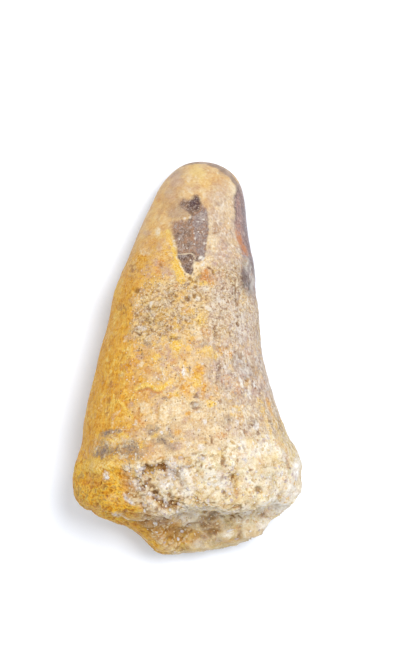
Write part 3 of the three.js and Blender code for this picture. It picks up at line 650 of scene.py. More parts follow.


# Stains given on the upper side, with painted highlight, glints and shade placed among them: kind, U, V, radius across,
# radius down, turn, strength.
STAINS_AND_PAINTED_LIGHT = [
    ("gold", 139, 303, 5, 9, 10, 0.34), ("gold", 150, 326, 7, 7, 0, 0.36), ("gold", 131, 322, 5, 8, 0, 0.34), ("brown", 134, 331, 5, 4, 0, 0.45),
    ("brown", 147, 316, 6, 4, 0, 0.4), ("brown", 141, 322, 3, 4, 0, 0.4),
    # tip; the pale marks at U 232-234, V 187-194, just inside the right rim, are painted highlight
    ("yellow", 197, 173, 8, 7, 0, 0.5), ("yellow", 207, 182, 5, 5, 0, 0.45), ("yellow", 190, 184, 6, 4, 0, 0.35),
    ("pale", 188.5, 179, 2.4, 3.6, 0, 0.85), ("brown", 182.5, 183, 3, 3.6, 0, 0.45), ("mauve", 210, 194, 6, 4, 0, 0.35),
    ("pale", 203, 190, 4, 3, 0, 0.45), ("gold", 217, 178, 9, 6, 0, 0.3), ("gold", 212, 168, 6, 3, 0, 0.25),
    ("brown", 172, 198, 8, 14, 15, 0.42), ("mauve", 171, 192, 6, 8, 0, 0.35), ("gold", 158, 200, 5, 8, 25, 0.5),
    ("gold", 152, 211, 4, 8, 25, 0.5), ("brown", 178, 176, 6, 8, 30, 0.35), ("pale", 184, 195, 6, 3, 0, 0.3),
    ("dusk", 224, 170, 8, 3.4, 32, 0.62), ("brown", 224, 174, 6, 3, 30, 0.45), ("pale", 233.6, 187, 3, 8.5, -12, 0.95),
    ("pale", 232, 194, 3, 4, 0, 0.5), ("pale", 218, 199, 7, 4, 0, 0.25), ("rust", 218, 198, 3, 2, 0, 0.3),
    ("brown", 178, 211, 6, 6, 0, 0.3), ("brown", 172, 215, 5, 4, 0, 0.3), ("pale", 180, 210, 4.5, 5, 0, 0.25),
    ("mauve", 176, 180, 7, 9, 25, 0.55), ("grey", 178, 170, 7, 6, 30, 0.35), ("brown", 178, 190, 6, 7, 0, 0.4),
    ("mauve", 222, 184, 8, 6, 0, 0.3), ("mauve", 216, 196, 9, 5, 0, 0.35), ("yellow", 195, 168, 7, 4, 0, 0.5),
    ("yellow", 203, 181, 7, 4, 0, 0.5), ("pale", 189, 178, 3, 4, 0, 0.6), ("gold", 156, 202, 4.5, 7, 28, 0.8),
    ("mauve", 214, 212, 5, 9, 0, 0.3), ("pale", 216.6, 208, 2.2, 2.4, 0, 0.7), ("mauve", 190, 188, 6, 4, 0, 0.35),
    # round and in the window; the small white spots in the window are painted glints
    ("white", 200.4, 257.2, 2.4, 1.3, -15, 1.0), ("white", 203.2, 259, 1.3, 2.2, 25, 0.9), ("white", 204.2, 243, 1.1, 1.2, 0, 0.9), ("white", 184.8, 218.6, 1.5, 1.3, 0, 0.8),
    ("white", 190.2, 217.5, 1.0, 1.8, 20, 0.7), ("white", 194.6, 238, 0.8, 1.3, 0, 0.8), ("white", 198.6, 221.4, 0.9, 0.9, 0, 0.8),
    ("white", 203.6, 219, 1.0, 1.1, 0, 0.8), ("white", 194, 233, 0.8, 0.8, 0, 0.8), ("white", 174, 241, 0.9, 1.4, 0, 0.7),
    ("mauve", 174, 213, 5, 5, 0, 0.3), ("pale", 163, 220, 6, 5, 0, 0.25), ("gold", 150, 222, 7, 7, 20, 0.4),
    ("pale", 158, 231.5, 2.6, 4.2, 0, 0.95), ("mauve", 147, 233, 5, 3, 0, 0.4), ("brown", 146, 237, 3, 2, 0, 0.35),
    ("yellow", 165, 234, 6, 5, 10, 0.5), ("yellow", 170, 238, 4, 6, 10, 0.55), ("gold", 155, 243, 6, 5, 0, 0.4),
    ("mauve", 159, 248, 3, 5, 0, 0.3), ("rust", 162, 241, 3, 3, 0, 0.3), ("yellow", 165, 249, 3, 5, 0, 0.3),
    ("gold", 141, 257, 8, 5, 0, 0.8), ("gold", 140, 265, 5, 7, 10, 0.6), ("brown", 133, 268, 4, 4, 0, 0.45),
    ("brown", 131, 278, 3.5, 3, 0, 0.5), ("brown", 138, 271, 2, 1.6, 0, 0.4), ("gold", 130, 285, 5, 7, 0, 0.6),
    ("rust", 162, 262, 4, 4, 0, 0.55), ("gold", 165, 256, 4, 6, 0, 0.5), ("mauve", 155, 262, 5, 5, 0, 0.4),
    ("pale", 146, 252, 6, 4, 0, 0.35), ("rust", 158, 271, 3, 5, 0, 0.45), ("mauve", 165, 270, 5, 5, 0, 0.45),
    ("mauve", 147, 272, 5, 7, 0, 0.35), ("brown", 152, 276, 2.4, 2, 0, 0.35), ("mauve", 170, 273, 3, 4, 0, 0.4),
    ("yellow", 157, 283, 8, 4, 0, 0.4), ("pale", 163, 284, 4, 4, 0, 0.5), ("pale", 170, 281, 4, 5, 20, 0.55),
    ("gold", 126, 293, 6, 9, 10, 0.65), ("yellow", 118, 290, 4, 9, 15, 0.4), ("gold", 133, 296, 6, 4, 0, 0.7),
    ("gold", 150, 290, 9, 5, 0, 0.4), ("mauve", 133, 300, 5, 3, 0, 0.35), ("mauve", 163, 291, 7, 6, 0, 0.35),
    ("pale", 213, 220, 5, 5, 0, 0.25), ("brown", 215.5, 228.5, 4.4, 4.4, 0, 0.6), ("pale", 211, 227, 1.6, 8, 5, 0.6),
    ("pale", 221, 210, 3.6, 6.5, 15, 0.6), ("white", 222, 208, 2.0, 4, 15, 0.35), ("pale", 228, 212, 4.5, 16, 0, 0.5),
    ("brown", 214, 205, 3, 1.8, 0, 0.35), ("white", 228.5, 223, 0.9, 0.9, 0, 0.9), ("gold", 224, 228, 4, 6, 0, 0.3),
    ("pale", 213, 242, 4, 8.5, 8, 0.6), ("brown", 209.6, 246.5, 1.4, 3.4, 0, 0.5), ("mauve", 222, 244, 7, 8, 0, 0.35),
    ("brown", 222.5, 242, 1.4, 2, 0, 0.5), ("mauve", 220, 254, 8, 7, 0, 0.35), ("pale", 209, 258, 4, 8, 0, 0.5),
    ("mauve", 214, 263.5, 4.4, 3, 30, 0.6), ("mauve", 229, 258, 5, 9, 0, 0.3), ("pale", 229, 240, 4, 8, 0, 0.25),
    ("mauve", 226, 205, 3, 6, 0, 0.25), ("pale", 197, 266, 3.2, 5, 10, 0.85), ("pale", 203.5, 266, 3.4, 4.5, 20, 0.8),
    ("white", 203, 265, 1.6, 2.6, 20, 0.5), ("yellow", 197.5, 264, 1.6, 2, 0, 0.5), ("pale", 194, 275, 4.4, 2.2, -30, 0.85),
    # down the strip
    ("grey", 248, 268, 4, 8, 25, 0.6), ("grey", 239, 270, 3, 9, 0, 0.5), ("white", 253, 280, 2, 12, 8, 0.45), ("yellow", 246, 262, 3, 5, 20, 0.4),
    ("rust", 240, 240, 2.6, 5, -20, 0.95), ("rust", 245, 248, 2.6, 5, -30, 0.9), ("rust", 236.5, 232, 1.4, 4, 0, 0.5),
    ("mauve", 256, 292, 5, 12, 0, 0.4), ("dusk", 243, 277, 3, 8, 0, 0.95), ("dusk", 238.6, 293, 2, 9, 0, 0.5),
    ("yellow", 243, 296, 3, 8, 0, 0.4), ("white", 247, 266, 0.9, 6, 10, 0.7), ("white", 250.6, 272, 0.9, 8, 5, 0.6), ("white", 240, 264, 0.8, 5, -5, 0.5), ("pale", 237, 284, 1, 8, 0, 0.5),
    ("dusk", 234.2, 270, 1.4, 1.8, 0, 0.8), ("dusk", 236, 278, 1.6, 1.6, 0, 0.8), ("grey", 251, 294, 2, 10, 8, 0.5),
    # orange-brown below the window
    ("rust", 205, 274, 6, 6, 0, 0.75), ("rust", 212, 279, 8, 6, 0, 0.6), ("rust", 199, 279, 4, 4, 0, 0.5),
    ("brown", 202, 273, 2, 2, 0, 0.5), ("rust", 221, 274, 5, 4, 0, 0.4), ("yellow", 203.5, 284, 4.4, 3, 0, 0.95),
    ("gold", 212, 285, 3.6, 2.6, 0, 0.7), ("yellow", 214.5, 272, 1.2, 2.6, 0, 0.7), ("mauve", 218, 284, 3, 3, 0, 0.5),
    ("mauve", 225, 283, 5, 8, 0, 0.35), ("brown", 189, 283, 4, 3.4, 0, 0.5), ("brown", 196, 285, 3, 5, 0, 0.5),
    ("pale", 188, 281, 2.4, 3, 0, 0.35), ("pale", 181, 287, 3.4, 2, 0, 0.5), ("brown", 186, 288, 4, 2, 0, 0.4),
    # rough band, left
    ("grey", 162, 312, 18, 14, 0, 0.4), ("brown", 152, 320, 14, 12, 0, 0.3), ("brown", 176, 330, 10, 10, 0, 0.3),
    ("brown", 136.5, 290, 4.6, 4.4, 0, 0.45), ("brown", 121.5, 307, 4.6, 3.6, 0, 0.5), ("gold", 130, 318, 4, 8, 0, 0.75),
    ("yellow", 124, 320, 3, 5, 0, 0.4), ("mauve", 137, 305, 4, 3, 0, 0.4), ("white", 137.6, 305.4, 1.3, 1.1, 0, 0.7),
    ("white", 151.4, 304, 1.9, 2.8, 20, 0.8), ("pale", 154, 303, 3, 3, 0, 0.6), ("mauve", 157, 308, 4.6, 5, 0, 0.4),
    ("white", 150.6, 311.3, 2.2, 1.5, 30, 0.6), ("pale", 156, 313, 2.6, 1.6, -30, 0.5), ("mauve", 153, 316, 6, 3, 0, 0.5),
    ("brown", 147, 320, 4, 3.6, 0, 0.55), ("pale", 141.5, 319, 1.8, 2.6, -30, 0.6), ("grey", 155, 322, 6, 3.6, 0, 0.5),
    ("grey", 160, 325, 7, 2.4, -8, 0.45), ("white", 144.6, 328.4, 2.8, 1.8, 0, 0.95), ("brown", 139, 331, 5, 5, 0, 0.45),
    ("white", 149, 327, 1.2, 1.2, 0, 0.6), ("brown", 147, 332, 4, 2, 20, 0.5), ("white", 146, 333, 1.8, 0.9, 0, 0.6),
    ("brown", 133.6, 318, 1.4, 12, 0, 0.5), ("grey", 148, 343, 4.4, 4.4, 0, 0.65), ("yellow", 154, 343.5, 2, 2, 0, 0.5),
    ("mauve", 130, 337, 6, 3.4, 0, 0.35), ("pale", 126, 340, 2.4, 3.4, 0, 0.4), ("grey", 164, 334, 4, 4, 0, 0.35),
    ("grey", 170, 297, 3.6, 3.8, 0, 0.6), ("gold", 170, 297, 2, 3, 0, 0.4), ("white", 168, 293.5, 2, 1.6, 0, 0.45),
    ("yellow", 178, 300, 5, 5, 0, 0.4), ("pale", 183, 305, 5, 3, 30, 0.55), ("rust", 176, 287, 5, 4, 0, 0.5),
    ("pale", 177, 289.5, 1, 1, 0, 0.8), ("mauve", 160, 298, 6, 4, 0, 0.35), ("gold", 141, 312, 3, 4, 0, 0.35),
    # rough band, middle and right
    ("white", 240, 320, 13, 24, 0, 0.33), ("pale", 225, 312, 11, 11, 0, 0.45), ("mauve", 250, 330, 8, 20, 0, 0.4),
    ("pale", 205, 300, 16, 10, 0, 0.35), ("white", 214, 299, 14, 9, 15, 0.4), ("mauve", 210, 303, 12, 6, 15, 0.35),
    ("rust", 206, 279, 9, 5.5, 5, 0.9), ("mauve", 218, 276, 6, 5, 0, 0.5), ("white", 203, 289, 8, 3, -10, 0.6), ("grey", 150, 316, 8, 5, 0, 0.35),
    ("brown", 145, 320, 9, 9, -30, 0.6), ("dusk", 146, 322, 5, 3, -30, 0.6), ("dusk", 138, 331, 4, 2, 0, 0.6), ("dusk", 152, 330, 6, 1.6, -10, 0.6),
    ("brown", 168, 334, 7, 4, 0, 0.5), ("dusk", 173, 339, 4, 1.6, 0, 0.6), ("white", 141, 327, 6, 1.6, -10, 0.7), ("pale", 160, 303, 8, 3, -25, 0.6),
    ("mauve", 175, 306, 7, 3, 0, 0.5), ("gold", 168, 318, 6, 4, 0, 0.5), ("white", 221, 301, 7, 3, 25, 0.6), ("mauve", 226, 306, 5, 3, 0, 0.6),
    ("dusk", 196, 286.5, 4, 1.2, 0, 0.6), ("dusk", 188.5, 284, 4, 1.4, 0, 0.6),
    ("pale", 213, 300, 13, 8, 0, 0.4), ("white", 206, 293, 8, 5, -20, 0.4), ("mauve", 222, 305, 9, 8, 0, 0.45),
    ("mauve", 216, 296, 8, 5, 0, 0.45), ("white", 213, 307, 7, 4, 20, 0.4), ("mauve", 228, 318, 8, 12, 0, 0.4),
    ("grey", 190.6, 292, 5, 4, -30, 0.6), ("white", 190, 294, 3, 3.4, 0, 0.4), ("white", 197.4, 299, 2.4, 2.4, 0, 0.95),
    ("pale", 206, 289.6, 3, 2.6, 0, 0.85), ("white", 205.6, 290, 1.6, 1.6, 0, 0.5), ("dusk", 188, 299, 3.4, 3, 0, 0.55),
    ("dusk", 194, 296.5, 1.8, 2.6, -20, 0.5), ("white", 208.5, 309, 5, 1.7, 28, 0.85), ("pale", 205, 306, 3, 2, 20, 0.6),
    ("rust", 204, 300, 3.6, 2.6, 20, 0.55), ("pale", 200.5, 305, 3, 1.8, 0, 0.5), ("white", 212, 297, 2.4, 3.6, 0, 0.35),
    ("grey", 211, 297, 4, 5, 0, 0.4), ("mauve", 205, 294, 4, 3, 0, 0.4), ("rust", 222, 296, 4, 5, 0, 0.3),
    ("grey", 227.5, 295, 3.4, 2, 0, 0.5), ("mauve", 231, 291, 4, 4, 0, 0.5), ("grey", 234.5, 292, 2.2, 9, 0, 0.75),
    ("white", 236, 308.5, 3.4, 1.8, -15, 0.45), ("grey", 236, 310, 4.4, 3, 0, 0.4), ("mauve", 230, 311.5, 4, 2.4, -30, 0.55),
    ("dusk", 237.4, 316.5, 1.9, 2.4, 0, 0.6), ("white", 236.6, 319.4, 1.7, 1.6, 0, 0.4), ("dusk", 237.8, 324, 1.6, 2.6, 0, 0.6),
    ("mauve", 239, 333, 6, 6, 0, 0.35), ("mauve", 233, 325, 5, 5, 0, 0.35), ("yellow", 224, 331, 5, 9, 0, 0.35),
    ("dusk", 219.5, 318, 3, 1.6, -25, 0.55), ("dusk", 215, 328.5, 2.2, 3.4, 0, 0.75), ("dusk", 215.8, 334, 1.7, 4, 0, 0.65),
    ("grey", 214.6, 336.6, 2.6, 4, 0, 0.55), ("mauve", 211, 315, 4, 6, 0, 0.4), ("mauve", 216, 310, 5, 4, 0, 0.3),
    ("yellow", 196, 311, 6, 4, 0, 0.55), ("yellow", 200.5, 320, 5.4, 6, 0, 0.9), ("yellow", 205, 318, 2, 4, 0, 0.7),
    ("pale", 196.6, 314, 2.4, 4, 0, 0.6), ("pale", 196, 330, 4.6, 6.4, 0, 0.85), ("pale", 198, 337, 4, 3, 0, 0.6),
    ("gold", 192, 336, 5, 8, 0, 0.5), ("gold", 205, 330, 3, 8, 0, 0.5), ("gold", 189, 312, 4, 3, 0, 0.4),
    ("pale", 187, 328, 4, 4, 0, 0.4), ("rust", 209, 333, 3, 8, 0, 0.35), ("brown", 206.5, 318.5, 1.6, 2, 20, 0.5),
    ("dusk", 180, 316, 4.4, 2.4, 0, 0.65), ("white", 183.8, 317.6, 1.6, 1.4, 0, 0.75), ("mauve", 182, 325, 3, 4.4, 0, 0.7),
    ("dusk", 181, 321.6, 3, 1.2, 0, 0.4), ("yellow", 176.6, 327, 3.8, 4, 0, 0.75), ("yellow", 173.5, 338, 4, 3.4, 0, 0.75),
    ("dusk", 176, 338.6, 2.4, 1.8, 0, 0.4), ("yellow", 176.5, 346, 6, 5, 0, 0.85), ("yellow", 163.5, 338, 3, 3, 0, 0.5),
    ("yellow", 188.5, 333, 2, 4, 0, 0.3), ("pale", 222, 340.5, 1.6, 1.6, 0, 0.8), ("mauve", 226, 341, 6, 3, 0, 0.5),
    ("pale", 245, 305, 5, 8, 0, 0.4), ("yellow", 243, 300, 5, 8, 0, 0.35), ("mauve", 252, 315, 4, 8, 0, 0.3),
    ("mauve", 229.8, 337, 1.2, 7, 0, 0.5), ("brown", 222, 348, 8, 2.4, 0, 0.45), ("grey", 205, 345, 5, 4, 0, 0.4),
    # middle
    ("yellow", 157.5, 357.5, 4.4, 3.4, -30, 0.8), ("gold", 152, 363, 7, 2.4, -10, 0.6), ("rust", 148, 369, 4, 4, 0, 0.5),
    ("pale", 141, 364, 2.6, 3.8, 10, 0.65), ("mauve", 139, 357, 3.4, 4, 0, 0.55), ("dusk", 138.4, 350.4, 2.0, 1.8, 0, 0.6),
    ("grey", 142.5, 355, 2, 2.6, 0, 0.4), ("white", 133.5, 377.6, 1.2, 2.0, 0, 0.6), ("gold", 142, 379, 4, 4, 0, 0.6),
    ("mauve", 163, 365, 3.4, 3, 0, 0.5), ("mauve", 158, 376, 5, 4, 0, 0.3), ("grey", 158, 379.5, 4, 1.6, 0, 0.4),
    ("pale", 169, 374, 6, 8, 0, 0.3), ("mauve", 170, 356, 6, 6, 0, 0.35), ("rust", 174, 361, 5, 4, 0, 0.35),
    ("yellow", 175.5, 354, 3, 5, 0, 0.45), ("mauve", 183, 352, 3, 6, 0, 0.35), ("gold", 183, 357, 5, 5, 0, 0.4),
    ("white", 183.4, 372, 1.3, 4.6, 0, 0.9), ("pale", 184, 376, 3.4, 5, 0, 0.6), ("grey", 189.6, 369.6, 1.4, 4.4, 0, 0.6),
    ("gold", 198, 373, 6, 9, 0, 0.65), ("yellow", 197, 380, 5, 6, 0, 0.6), ("yellow", 208, 350, 8, 4, 0, 0.6),
    ("yellow", 213, 355, 8, 5, 0, 0.45), ("gold", 222, 350, 5, 4, 0, 0.4), ("grey", 212, 357, 6, 4, 0, 0.25),
    ("white", 202.6, 364, 1.4, 1.2, 0, 0.6), ("dusk", 219, 366, 3, 5, 0, 0.55), ("dusk", 218.5, 374, 2.2, 7, 0, 0.6),
    ("mauve", 214, 366, 4, 4, 0, 0.5), ("pale", 228, 358, 5, 5, 0, 0.3), ("gold", 230, 355, 3, 4, 0, 0.5),
    ("white", 225, 367, 2, 3, -20, 0.5), ("grey", 238, 361, 7, 8, 20, 0.45), ("white", 239, 362, 3.6, 3, 0, 0.45),
    ("dusk", 239, 357, 5, 2.2, 0, 0.35), ("dusk", 236, 353, 5, 3, 30, 0.3), ("white", 243, 358.6, 1.2, 1.6, 0, 0.5),
    ("grey", 249, 369, 8, 9, 20, 0.42), ("mauve", 244, 373.5, 3.6, 2.4, 0, 0.6), ("dusk", 253, 371, 5, 7, 0, 0.2), ("white", 246, 371, 5, 6, 20, 0.35),
    ("rust", 247, 353, 3, 3, 0, 0.4), ("white", 240.6, 382.6, 1.4, 5.8, -18, 0.95), ("brown", 247, 380.5, 3, 2, 0, 0.55),
    ("white", 254.6, 385, 1.3, 3.0, 0, 0.85), ("dusk", 252.6, 384, 1.4, 4, 0, 0.6), ("white", 248.8, 394, 1.6, 3.4, 0, 0.6),
    ("mauve", 256, 392, 6, 8, 0, 0.55), ("mauve", 262, 382, 4, 8, 0, 0.4), ("dusk", 259, 391, 2, 2.6, 0, 0.35),
    ("rust", 228, 380, 6, 8, 0, 0.28), ("rust", 237, 390, 6, 8, 0, 0.25), ("grey", 224, 388, 4, 5, 0, 0.3),
    ("gold", 187, 388, 5, 7, 0, 0.6), ("rust", 186.5, 392, 3, 3, 0, 0.4), ("pale", 192.6, 389, 2.0, 3, 0, 0.8),
    ("gold", 204, 390, 2.4, 7, 10, 0.6), ("rust", 216, 389, 2, 4, 0, 0.4), ("dusk", 197, 396, 2.4, 3, -20, 0.6),
    ("gold", 181, 379, 4, 4, 0, 0.35), ("mauve", 199, 389, 2.4, 4, 0, 0.4), ("mauve", 206, 396, 4, 4, 0, 0.4),
    # lower crown
    ("pale", 145, 408, 5.4, 5.4, 0, 0.75), ("pale", 151.5, 416, 4, 5, 0, 0.55), ("pale", 163.5, 412, 4.8, 8, 0, 0.95),
    ("pale", 175, 403, 6, 4, 0, 0.55), ("pale", 176.5, 413, 5, 8, -25, 0.75), ("pale", 182, 408, 5, 6, 0, 0.35),
    ("dusk", 164.5, 398.6, 3.2, 1.8, 0, 0.6), ("mauve", 161, 402, 3, 5, 0, 0.45), ("mauve", 156, 408, 2.2, 7, 10, 0.5),
    ("dusk", 152, 409, 1.6, 1.4, 0, 0.4), ("mauve", 151, 395, 4, 4, 0, 0.45), ("mauve", 170.5, 409, 2, 6, 20, 0.35),
    ("mauve", 131, 405, 5, 4, 0, 0.5), ("grey", 132, 403, 3, 3, 0, 0.35), ("gold", 172, 396, 5, 3, 0, 0.45),
    ("yellow", 177, 394, 4, 3, 0, 0.6), ("gold", 120, 406, 5, 6, 0, 0.4), ("pale", 117, 413, 2.2, 3, 0, 0.5),
    ("gold", 101, 425, 7, 7, 0, 0.55), ("gold", 98, 407, 6, 9, 0, 0.45), ("rust", 134.6, 417, 1.6, 1.6, 0, 0.7),
    ("rust", 140, 421, 4, 2, 20, 0.5), ("gold", 127, 423, 6, 4, 0, 0.45), ("white", 136, 423, 1.6, 2.6, 0, 0.4),
    ("pale", 143, 418, 4, 4, 0, 0.4), ("rust", 143, 424, 2.6, 2, 0, 0.5), ("mauve", 114, 417, 2.4, 4, 0, 0.4),
    ("pale", 113, 424, 2.4, 4, 0, 0.4), ("yellow", 129, 426, 4, 2, 0, 0.4), ("gold", 163, 422, 3, 3, 0, 0.35),
    ("brown", 183, 421, 3, 4, 0, 0.4), ("pale", 186, 427, 6, 4, 0, 0.4), ("mauve", 186, 419, 6, 3, -20, 0.4),
    ("grey", 196.5, 406, 5.4, 3.6, 0, 0.8), ("white", 197.6, 404.6, 3, 1.5, -10, 0.6), ("dusk", 196.6, 408.6, 5, 1.2, 0, 0.5),
    ("white", 199, 411.6, 5, 1.2, 0, 0.35), ("yellow", 211.5, 403, 5.4, 3.2, 0, 0.9), ("gold", 212, 398, 3, 2, 0, 0.6),
    ("brown", 220.6, 402, 2, 2.4, -20, 0.5), ("gold", 188, 413, 3, 2.4, 0, 0.6), ("pale", 197, 416, 7, 3, 0, 0.4),
    ("pale", 190, 407, 4, 3, 0, 0.3), ("yellow", 229, 400, 3, 2.4, 0, 0.3), ("yellow", 238, 408, 5, 3.4, 0, 0.5),
    ("gold", 242, 406, 4, 1.8, 0, 0.45), ("pale", 246, 413, 4, 3.4, 0, 0.6), ("yellow", 233, 415, 3.4, 2, 0, 0.5),
    ("pale", 227, 411, 4, 3, 0, 0.5), ("grey", 228, 420, 5, 5, 0, 0.45), ("brown", 229, 416, 3, 1.4, -20, 0.3),
    ("white", 205, 422, 1.6, 3.4, 0, 0.7), ("white", 215.5, 424, 1.8, 2, 0, 0.6), ("white", 236.6, 422.6, 1.9, 3.6, 0, 0.65),
    ("pale", 213, 430, 6, 6, 0, 0.5), ("mauve", 229, 428, 4, 5, 0, 0.5), ("gold", 240, 415, 5, 6, 0, 0.3),
    ("grey", 252, 423, 5, 5, 0, 0.55), ("white", 257, 427, 3.4, 3.4, 0, 0.65), ("dusk", 252.6, 425.4, 2.4, 1.4, 0, 0.55),
    ("dusk", 258.4, 431.5, 1.7, 3.4, 0, 0.5), ("white", 256, 437, 1.9, 2.6, 0, 0.5), ("white", 242.8, 433.6, 1.7, 4.4, -28, 0.85),
    ("brown", 245.6, 432, 1.4, 4.6, -28, 0.5), ("rust", 249, 434, 3, 2, 0, 0.35), ("brown", 264.6, 417.4, 4, 4, 0, 0.6),
    ("mauve", 236, 436, 4, 3.4, 0, 0.4), ("yellow", 262, 406, 3, 8, -12, 0.4), ("mauve", 267, 397, 3.4, 6, 0, 0.4),
    ("pale", 268, 412, 2, 8, -18, 0.35), ("pale", 266, 427, 4, 4, 0, 0.4), ("brown", 281.6, 429, 1.6, 9, -20, 0.5),
    ("brown", 274, 415, 1.6, 8, -20, 0.3), ("gold", 281, 421, 2, 8, -22, 0.35), ("mauve", 273.6, 428, 1.8, 6, -18, 0.4),
    ("gold", 278, 443, 3, 5, -10, 0.7), ("brown", 211.8, 441, 1.4, 4.4, 0, 0.55), ("pale", 208, 433, 3, 4, 0, 0.4),
    ("rust", 222, 437, 8, 3.6, 0, 0.35), ("mauve", 192, 435, 8, 6, 0, 0.3), ("white", 199, 429, 2, 4, 0, 0.35),
    ("white", 188, 443, 3, 3, 0, 0.5), ("white", 201, 448, 3, 3.4, 0, 0.6), ("pale", 231, 441, 4.4, 1.8, -14, 0.85),
    ("white", 229, 441.6, 1.8, 1.6, 0, 0.5), ("yellow", 251.6, 443.6, 5.4, 6.2, 8, 0.55), ("pale", 251, 444, 5.4, 6.2, 8, 0.75),
    ("white", 267, 437, 2.6, 3.4, 0, 0.75), ("white", 268, 445, 4.4, 4.4, -20, 0.7), ("gold", 231, 449, 3, 2.6, 0, 0.55),
    # grey patches above the break
    ("grey", 118, 447, 26, 10, 0, 0.26), ("grey", 160, 440, 18, 10, 0, 0.24), ("mauve", 130, 436, 22, 8, 0, 0.3), ("pale", 120, 442, 20, 6, 0, 0.35),
    ("grey", 133, 454, 7, 5, 0, 0.6), ("dusk", 133, 449, 5, 5, 0, 0.35), ("dusk", 102, 452, 4, 4, 0, 0.35), ("grey", 162, 441, 5, 4, 0, 0.8), ("dusk", 164, 442, 3, 2.4, 0, 0.4),
    ("grey", 105, 450, 12, 11, -20, 0.58), ("grey", 131, 450, 13, 11, 0, 0.62), ("grey", 154, 431, 8, 7, 0, 0.5),
    ("grey", 166, 443, 11, 8, 20, 0.5), ("grey", 110, 435, 9, 5, -15, 0.55), ("yellow", 114, 441, 4, 1.6, -20, 0.8),
    ("yellow", 128, 437, 3, 1.6, 20, 0.8), ("pale", 122, 457, 6, 2, 0, 0.6), ("yellow", 141, 446, 2, 2.6, 0, 0.6), ("pale", 149, 438, 3, 3, 0, 0.7),
    ("yellow", 172, 441, 2.4, 1.6, 0, 0.6), ("pale", 158, 447, 5, 2.4, 0, 0.6), ("yellow", 108, 439.5, 3, 1.2, 0, 0.6), ("mauve", 176, 447, 8, 5, 0, 0.5),
    ("mauve", 147, 452, 8, 5, 0, 0.4), ("yellow", 118, 440, 5, 3, 0, 0.6), ("yellow", 124, 435, 4, 3, 0, 0.55),
    ("pale", 146, 440, 4, 4, 0, 0.5), ("yellow", 115, 457, 4, 2.4, 0, 0.5), ("pale", 121, 446, 2, 3, 0, 0.5),
    ("grey", 107.5, 433.4, 4.6, 2.8, -12, 0.75), ("dusk", 109, 432.4, 3, 1.6, 0, 0.25), ("grey", 118.4, 431.6, 3.6, 2.6, 0, 0.65),
    ("grey", 101, 453, 4.8, 5.6, 0, 0.72), ("brown", 101, 456, 3.6, 3.4, 0, 0.4), ("grey", 110, 448, 6, 4, 0, 0.6),
    ("grey", 119, 448.6, 6, 3.8, 0, 0.6), ("grey", 134, 447.6, 6.6, 8.4, 0, 0.7), ("dusk", 132, 450, 5, 4, 0, 0.25),
    ("dusk", 136, 442.6, 3.4, 2, 0, 0.25), ("grey", 106, 442, 6, 3, 0, 0.45), ("mauve", 124, 441, 4, 2.6, 0, 0.5),
    ("grey", 137, 458, 3.6, 3.6, 0, 0.6), ("white", 135.6, 456, 1.2, 3.2, 0, 0.7), ("pale", 119.6, 453.8, 1.6, 1.4, 0, 0.7),
    ("pale", 104.6, 455, 0.9, 2.6, 0, 0.5), ("yellow", 121, 435.6, 2.6, 2.2, 0, 0.8), ("yellow", 111.6, 436.2, 2.2, 1.2, 0, 0.6),
    ("pale", 140, 434, 4, 4, 0, 0.45), ("yellow", 139, 441.6, 1.2, 3, 0, 0.4), ("pale", 126, 429, 5, 1.6, 0, 0.3),
    ("dusk", 152, 431.6, 3.4, 3.2, 0, 0.4), ("mauve", 146, 431, 2.6, 4, 0, 0.4), ("white", 161.6, 432.4, 1.7, 1.5, 0, 0.95),
    ("white", 166.6, 428.6, 1.1, 2.0, 0, 0.7), ("yellow", 155, 436.6, 3.6, 2, -30, 0.6), ("dusk", 169, 430, 2.4, 4.4, 0, 0.5),
    ("grey", 171, 436, 3, 4, 0, 0.5), ("grey", 162, 441.6, 4, 3.4, 0, 0.8), ("dusk", 162, 440.6, 2.6, 2, 0, 0.4),
    ("grey", 169, 445.6, 3.4, 2.8, 0, 0.7), ("grey", 174, 448.6, 3, 2.2, 0, 0.6), ("brown", 145, 442, 3, 6, -30, 0.3),
    ("rust", 148, 446, 3, 4, -30, 0.3), ("mauve", 153, 447, 6, 4, 0, 0.35), ("yellow", 181, 439.4, 1.8, 1.4, 0, 0.6),
    ("gold", 178, 432, 4, 3, 0, 0.4), ("pale", 158, 455, 7, 3.4, -20, 0.5), ("gold", 160, 459, 6, 2, -25, 0.45),
    ("gold", 93, 445, 3, 6, 0, 0.45), ("pale", 96, 446, 2, 8, 0, 0.35), ("mauve", 92, 452, 4, 5, 0, 0.3),
    # root end, left
    ("gold", 158, 531, 18, 9, 25, 0.45), ("brown", 146, 519, 15, 6, 20, 0.4), ("yellow", 172, 541, 10, 6, 20, 0.4),
    ("brown", 160, 527, 12, 4, 20, 0.35),
    ("yellow", 99, 466, 18, 7, -5, 1.0), ("pale", 102, 466, 12, 4, -5, 0.4), ("rust", 97, 480, 15, 6, -8, 0.5), ("brown", 104, 488, 14, 8, 20, 0.3),
    ("yellow", 106, 464, 12, 4, -4, 0.85), ("yellow", 101, 470, 6, 6, 0, 0.95), ("yellow", 118, 463, 5, 3.4, -20, 0.9),
    ("pale", 115, 465, 4, 1.8, -10, 0.35), ("gold", 88, 466, 8, 5, -10, 0.6), ("white", 107, 476.4, 3.2, 3.6, 0, 0.9),
    ("yellow", 113, 476, 4, 6, -30, 0.7), ("yellow", 117, 481, 5, 3.6, -20, 0.75), ("gold", 124, 478, 5, 4, 0, 0.7),
    ("rust", 122, 472, 4, 4, -40, 0.65), ("rust", 129, 476, 3, 8, -25, 0.7), ("white", 129, 467.6, 2.6, 2.2, 30, 0.6),
    ("gold", 133, 463, 4, 2, 0, 0.5), ("yellow", 133, 474, 2.6, 4, -20, 0.45), ("rust", 132, 485, 4, 4, -30, 0.7),
    ("gold", 126, 488, 6, 2, -15, 0.7), ("gold", 118, 488.6, 5, 2, 10, 0.55), ("brown", 104, 486, 5, 4, 40, 0.35),
